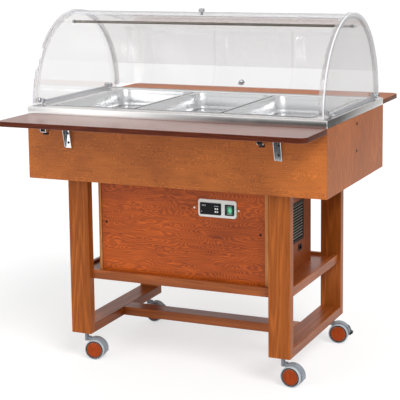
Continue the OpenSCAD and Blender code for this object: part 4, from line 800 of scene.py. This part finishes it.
# the rocker is lit from inside: bright in the middle of its face, deep green at the rim
rounded_copy("switch_frame", black_abs, 0.5, "cart")
green_lens, tree = start_finish("green_polycarbonate_rocker")
place = put(tree, "ShaderNodeTexCoord").outputs["Object"]
lamp_at, lamp_reach = (0.189, -0.25, 0.599), (95, 0, 62)
from_lamp = put(tree, "ShaderNodeVectorMath", {"operation": "SUBTRACT", 1: lamp_at}, {0: place})
scaled = put(tree, "ShaderNodeVectorMath", {"operation": "MULTIPLY", 1: lamp_reach},
             {0: from_lamp.outputs[0]})
reach = put(tree, "ShaderNodeVectorMath", {"operation": "LENGTH"}, {0: scaled.outputs[0]})
glow = put(tree, "ShaderNodeMapRange", {"interpolation_type": "SMOOTHSTEP", "From Min": 1.1, "From Max": 0.1},
           {"Value": reach.outputs["Value"]})
green = put(tree, "ShaderNodeMix", {"data_type": "RGBA", 6: hex_colour("#0b5a38"), 7: hex_colour("#6fe5b0")},
            {0: glow.outputs[0]})
lens_skin = put(tree, "ShaderNodeBsdfPrincipled", {"Roughness": 0.25, "IOR": 1.58},
                {"Base Color": green.outputs[2]})
put(tree, "ShaderNodeOutputMaterial", None, {"Surface": lens_skin.outputs[0]})
rounded_copy("rocker", green_lens, 0.5, "rocker")


# ---- Cooling unit ----
# A sealed compressor in black enamel, a finned condenser of dull aluminium with copper tube, and a
# white moulded fan. They stand behind the louvre and keep their CAD shapes.
dress("compressor", plain_finish("black_enamel_shell", "#131416", 0.3, 2.0, 0.1, coat=0.3))
dress("condenser", plain_finish("dull_condenser_metal", "#8d8f90", 0.45, 2.0, 0.05, metal=1.0))
dress("fan", plain_finish("moulded_white_fan", "#d8d8d4", 0.5, 1.5, 0.05))


# ---- Casters ----
# Twin-wheel casters: a moulded grey hood with its neck on a steel stem, pale grey rubber treads, and a
# brown disc in each outer face, ringed by a near-black core that is painted shade for the gap round it. The
# rear pair has a black brake lever.
hood_grey = plain_finish("moulded_grey_hood", "#8d949c", 0.38, 1.2, 0.05)
tread_grey = plain_finish("grey_rubber_tread", "#b4babf", 0.6, 1.0, 0.05)
# near black, seen as the ring round each brown disc: painted shade for the gap between disc and tread
shade_ring_black = plain_finish("wheel_core_painted_shade_ring", "#1a1213", 0.5, 1.0, 0.05, index=1.35)
disc_brown = stained_birch("brown_printed_disc", 2, "#a84312", "#7c2e08", 16, 0.3, 0.05, 0.15)
dress("caster_stems", plain_finish("zinc_plated_stem", "#55585c", 0.3, metal=1.0))
stem_x, stem_y, trail, axle_z = 387, 258, 36, 37.5
# radius and distance from the middle of the axle, on either side
tread = [(31, 6.6), (36, 6.6), (37.2, 7.6), (37.5, 9), (37.5, 20.5), (37.1, 22.4), (35.8, 23.9), (34.6, 24.5),
         (33.5, 24.4), (33.2, 23.6), (31, 23.4)]
core = [(4.05, 6.6), (30.9, 6.6), (30.9, 22), (33.1, 23.5), (32.4, 24.1), (29, 24.1), (28.4, 22.4),
        (4.05, 22.2)]
disc = [(0, 22.3), (28.1, 22.3), (28.2, 23.6), (27.5, 24.2), (22, 24.4), (0, 24.5)]
for tag, sx, sy, turn in (("fl", -1, -1, 8), ("fr", 1, -1, -4), ("rl", -1, 1, -6), ("rr", 1, 1, 8)):
    swing = Matrix.Rotation(math.radians(turn), 3, "Z")
    hub = Vector((sx * stem_x, sy * stem_y, 0)) + swing @ Vector((trail, 0, axle_z))
    node = "wheels_" + tag
    for side, facing in ((-1, "front"), (1, "back")):
        for part, profile, finish, crease in (("tread", tread, tread_grey, 35), ("core", core, shade_ring_black, 35),
                                              ("disc", disc, disc_brown, 50)):
            turn_part("%s_%s_%s" % (part, tag, facing), profile, hub, swing @ Vector((0, side, 0)), finish,
                      node, node, crease=crease)
    rounded_copy("hood_" + tag, hood_grey, 0.6, "hood_" + tag)
for node in ("brake_rl", "brake_rr"):
    rounded_copy(node, black_nylon, 0.5, node)
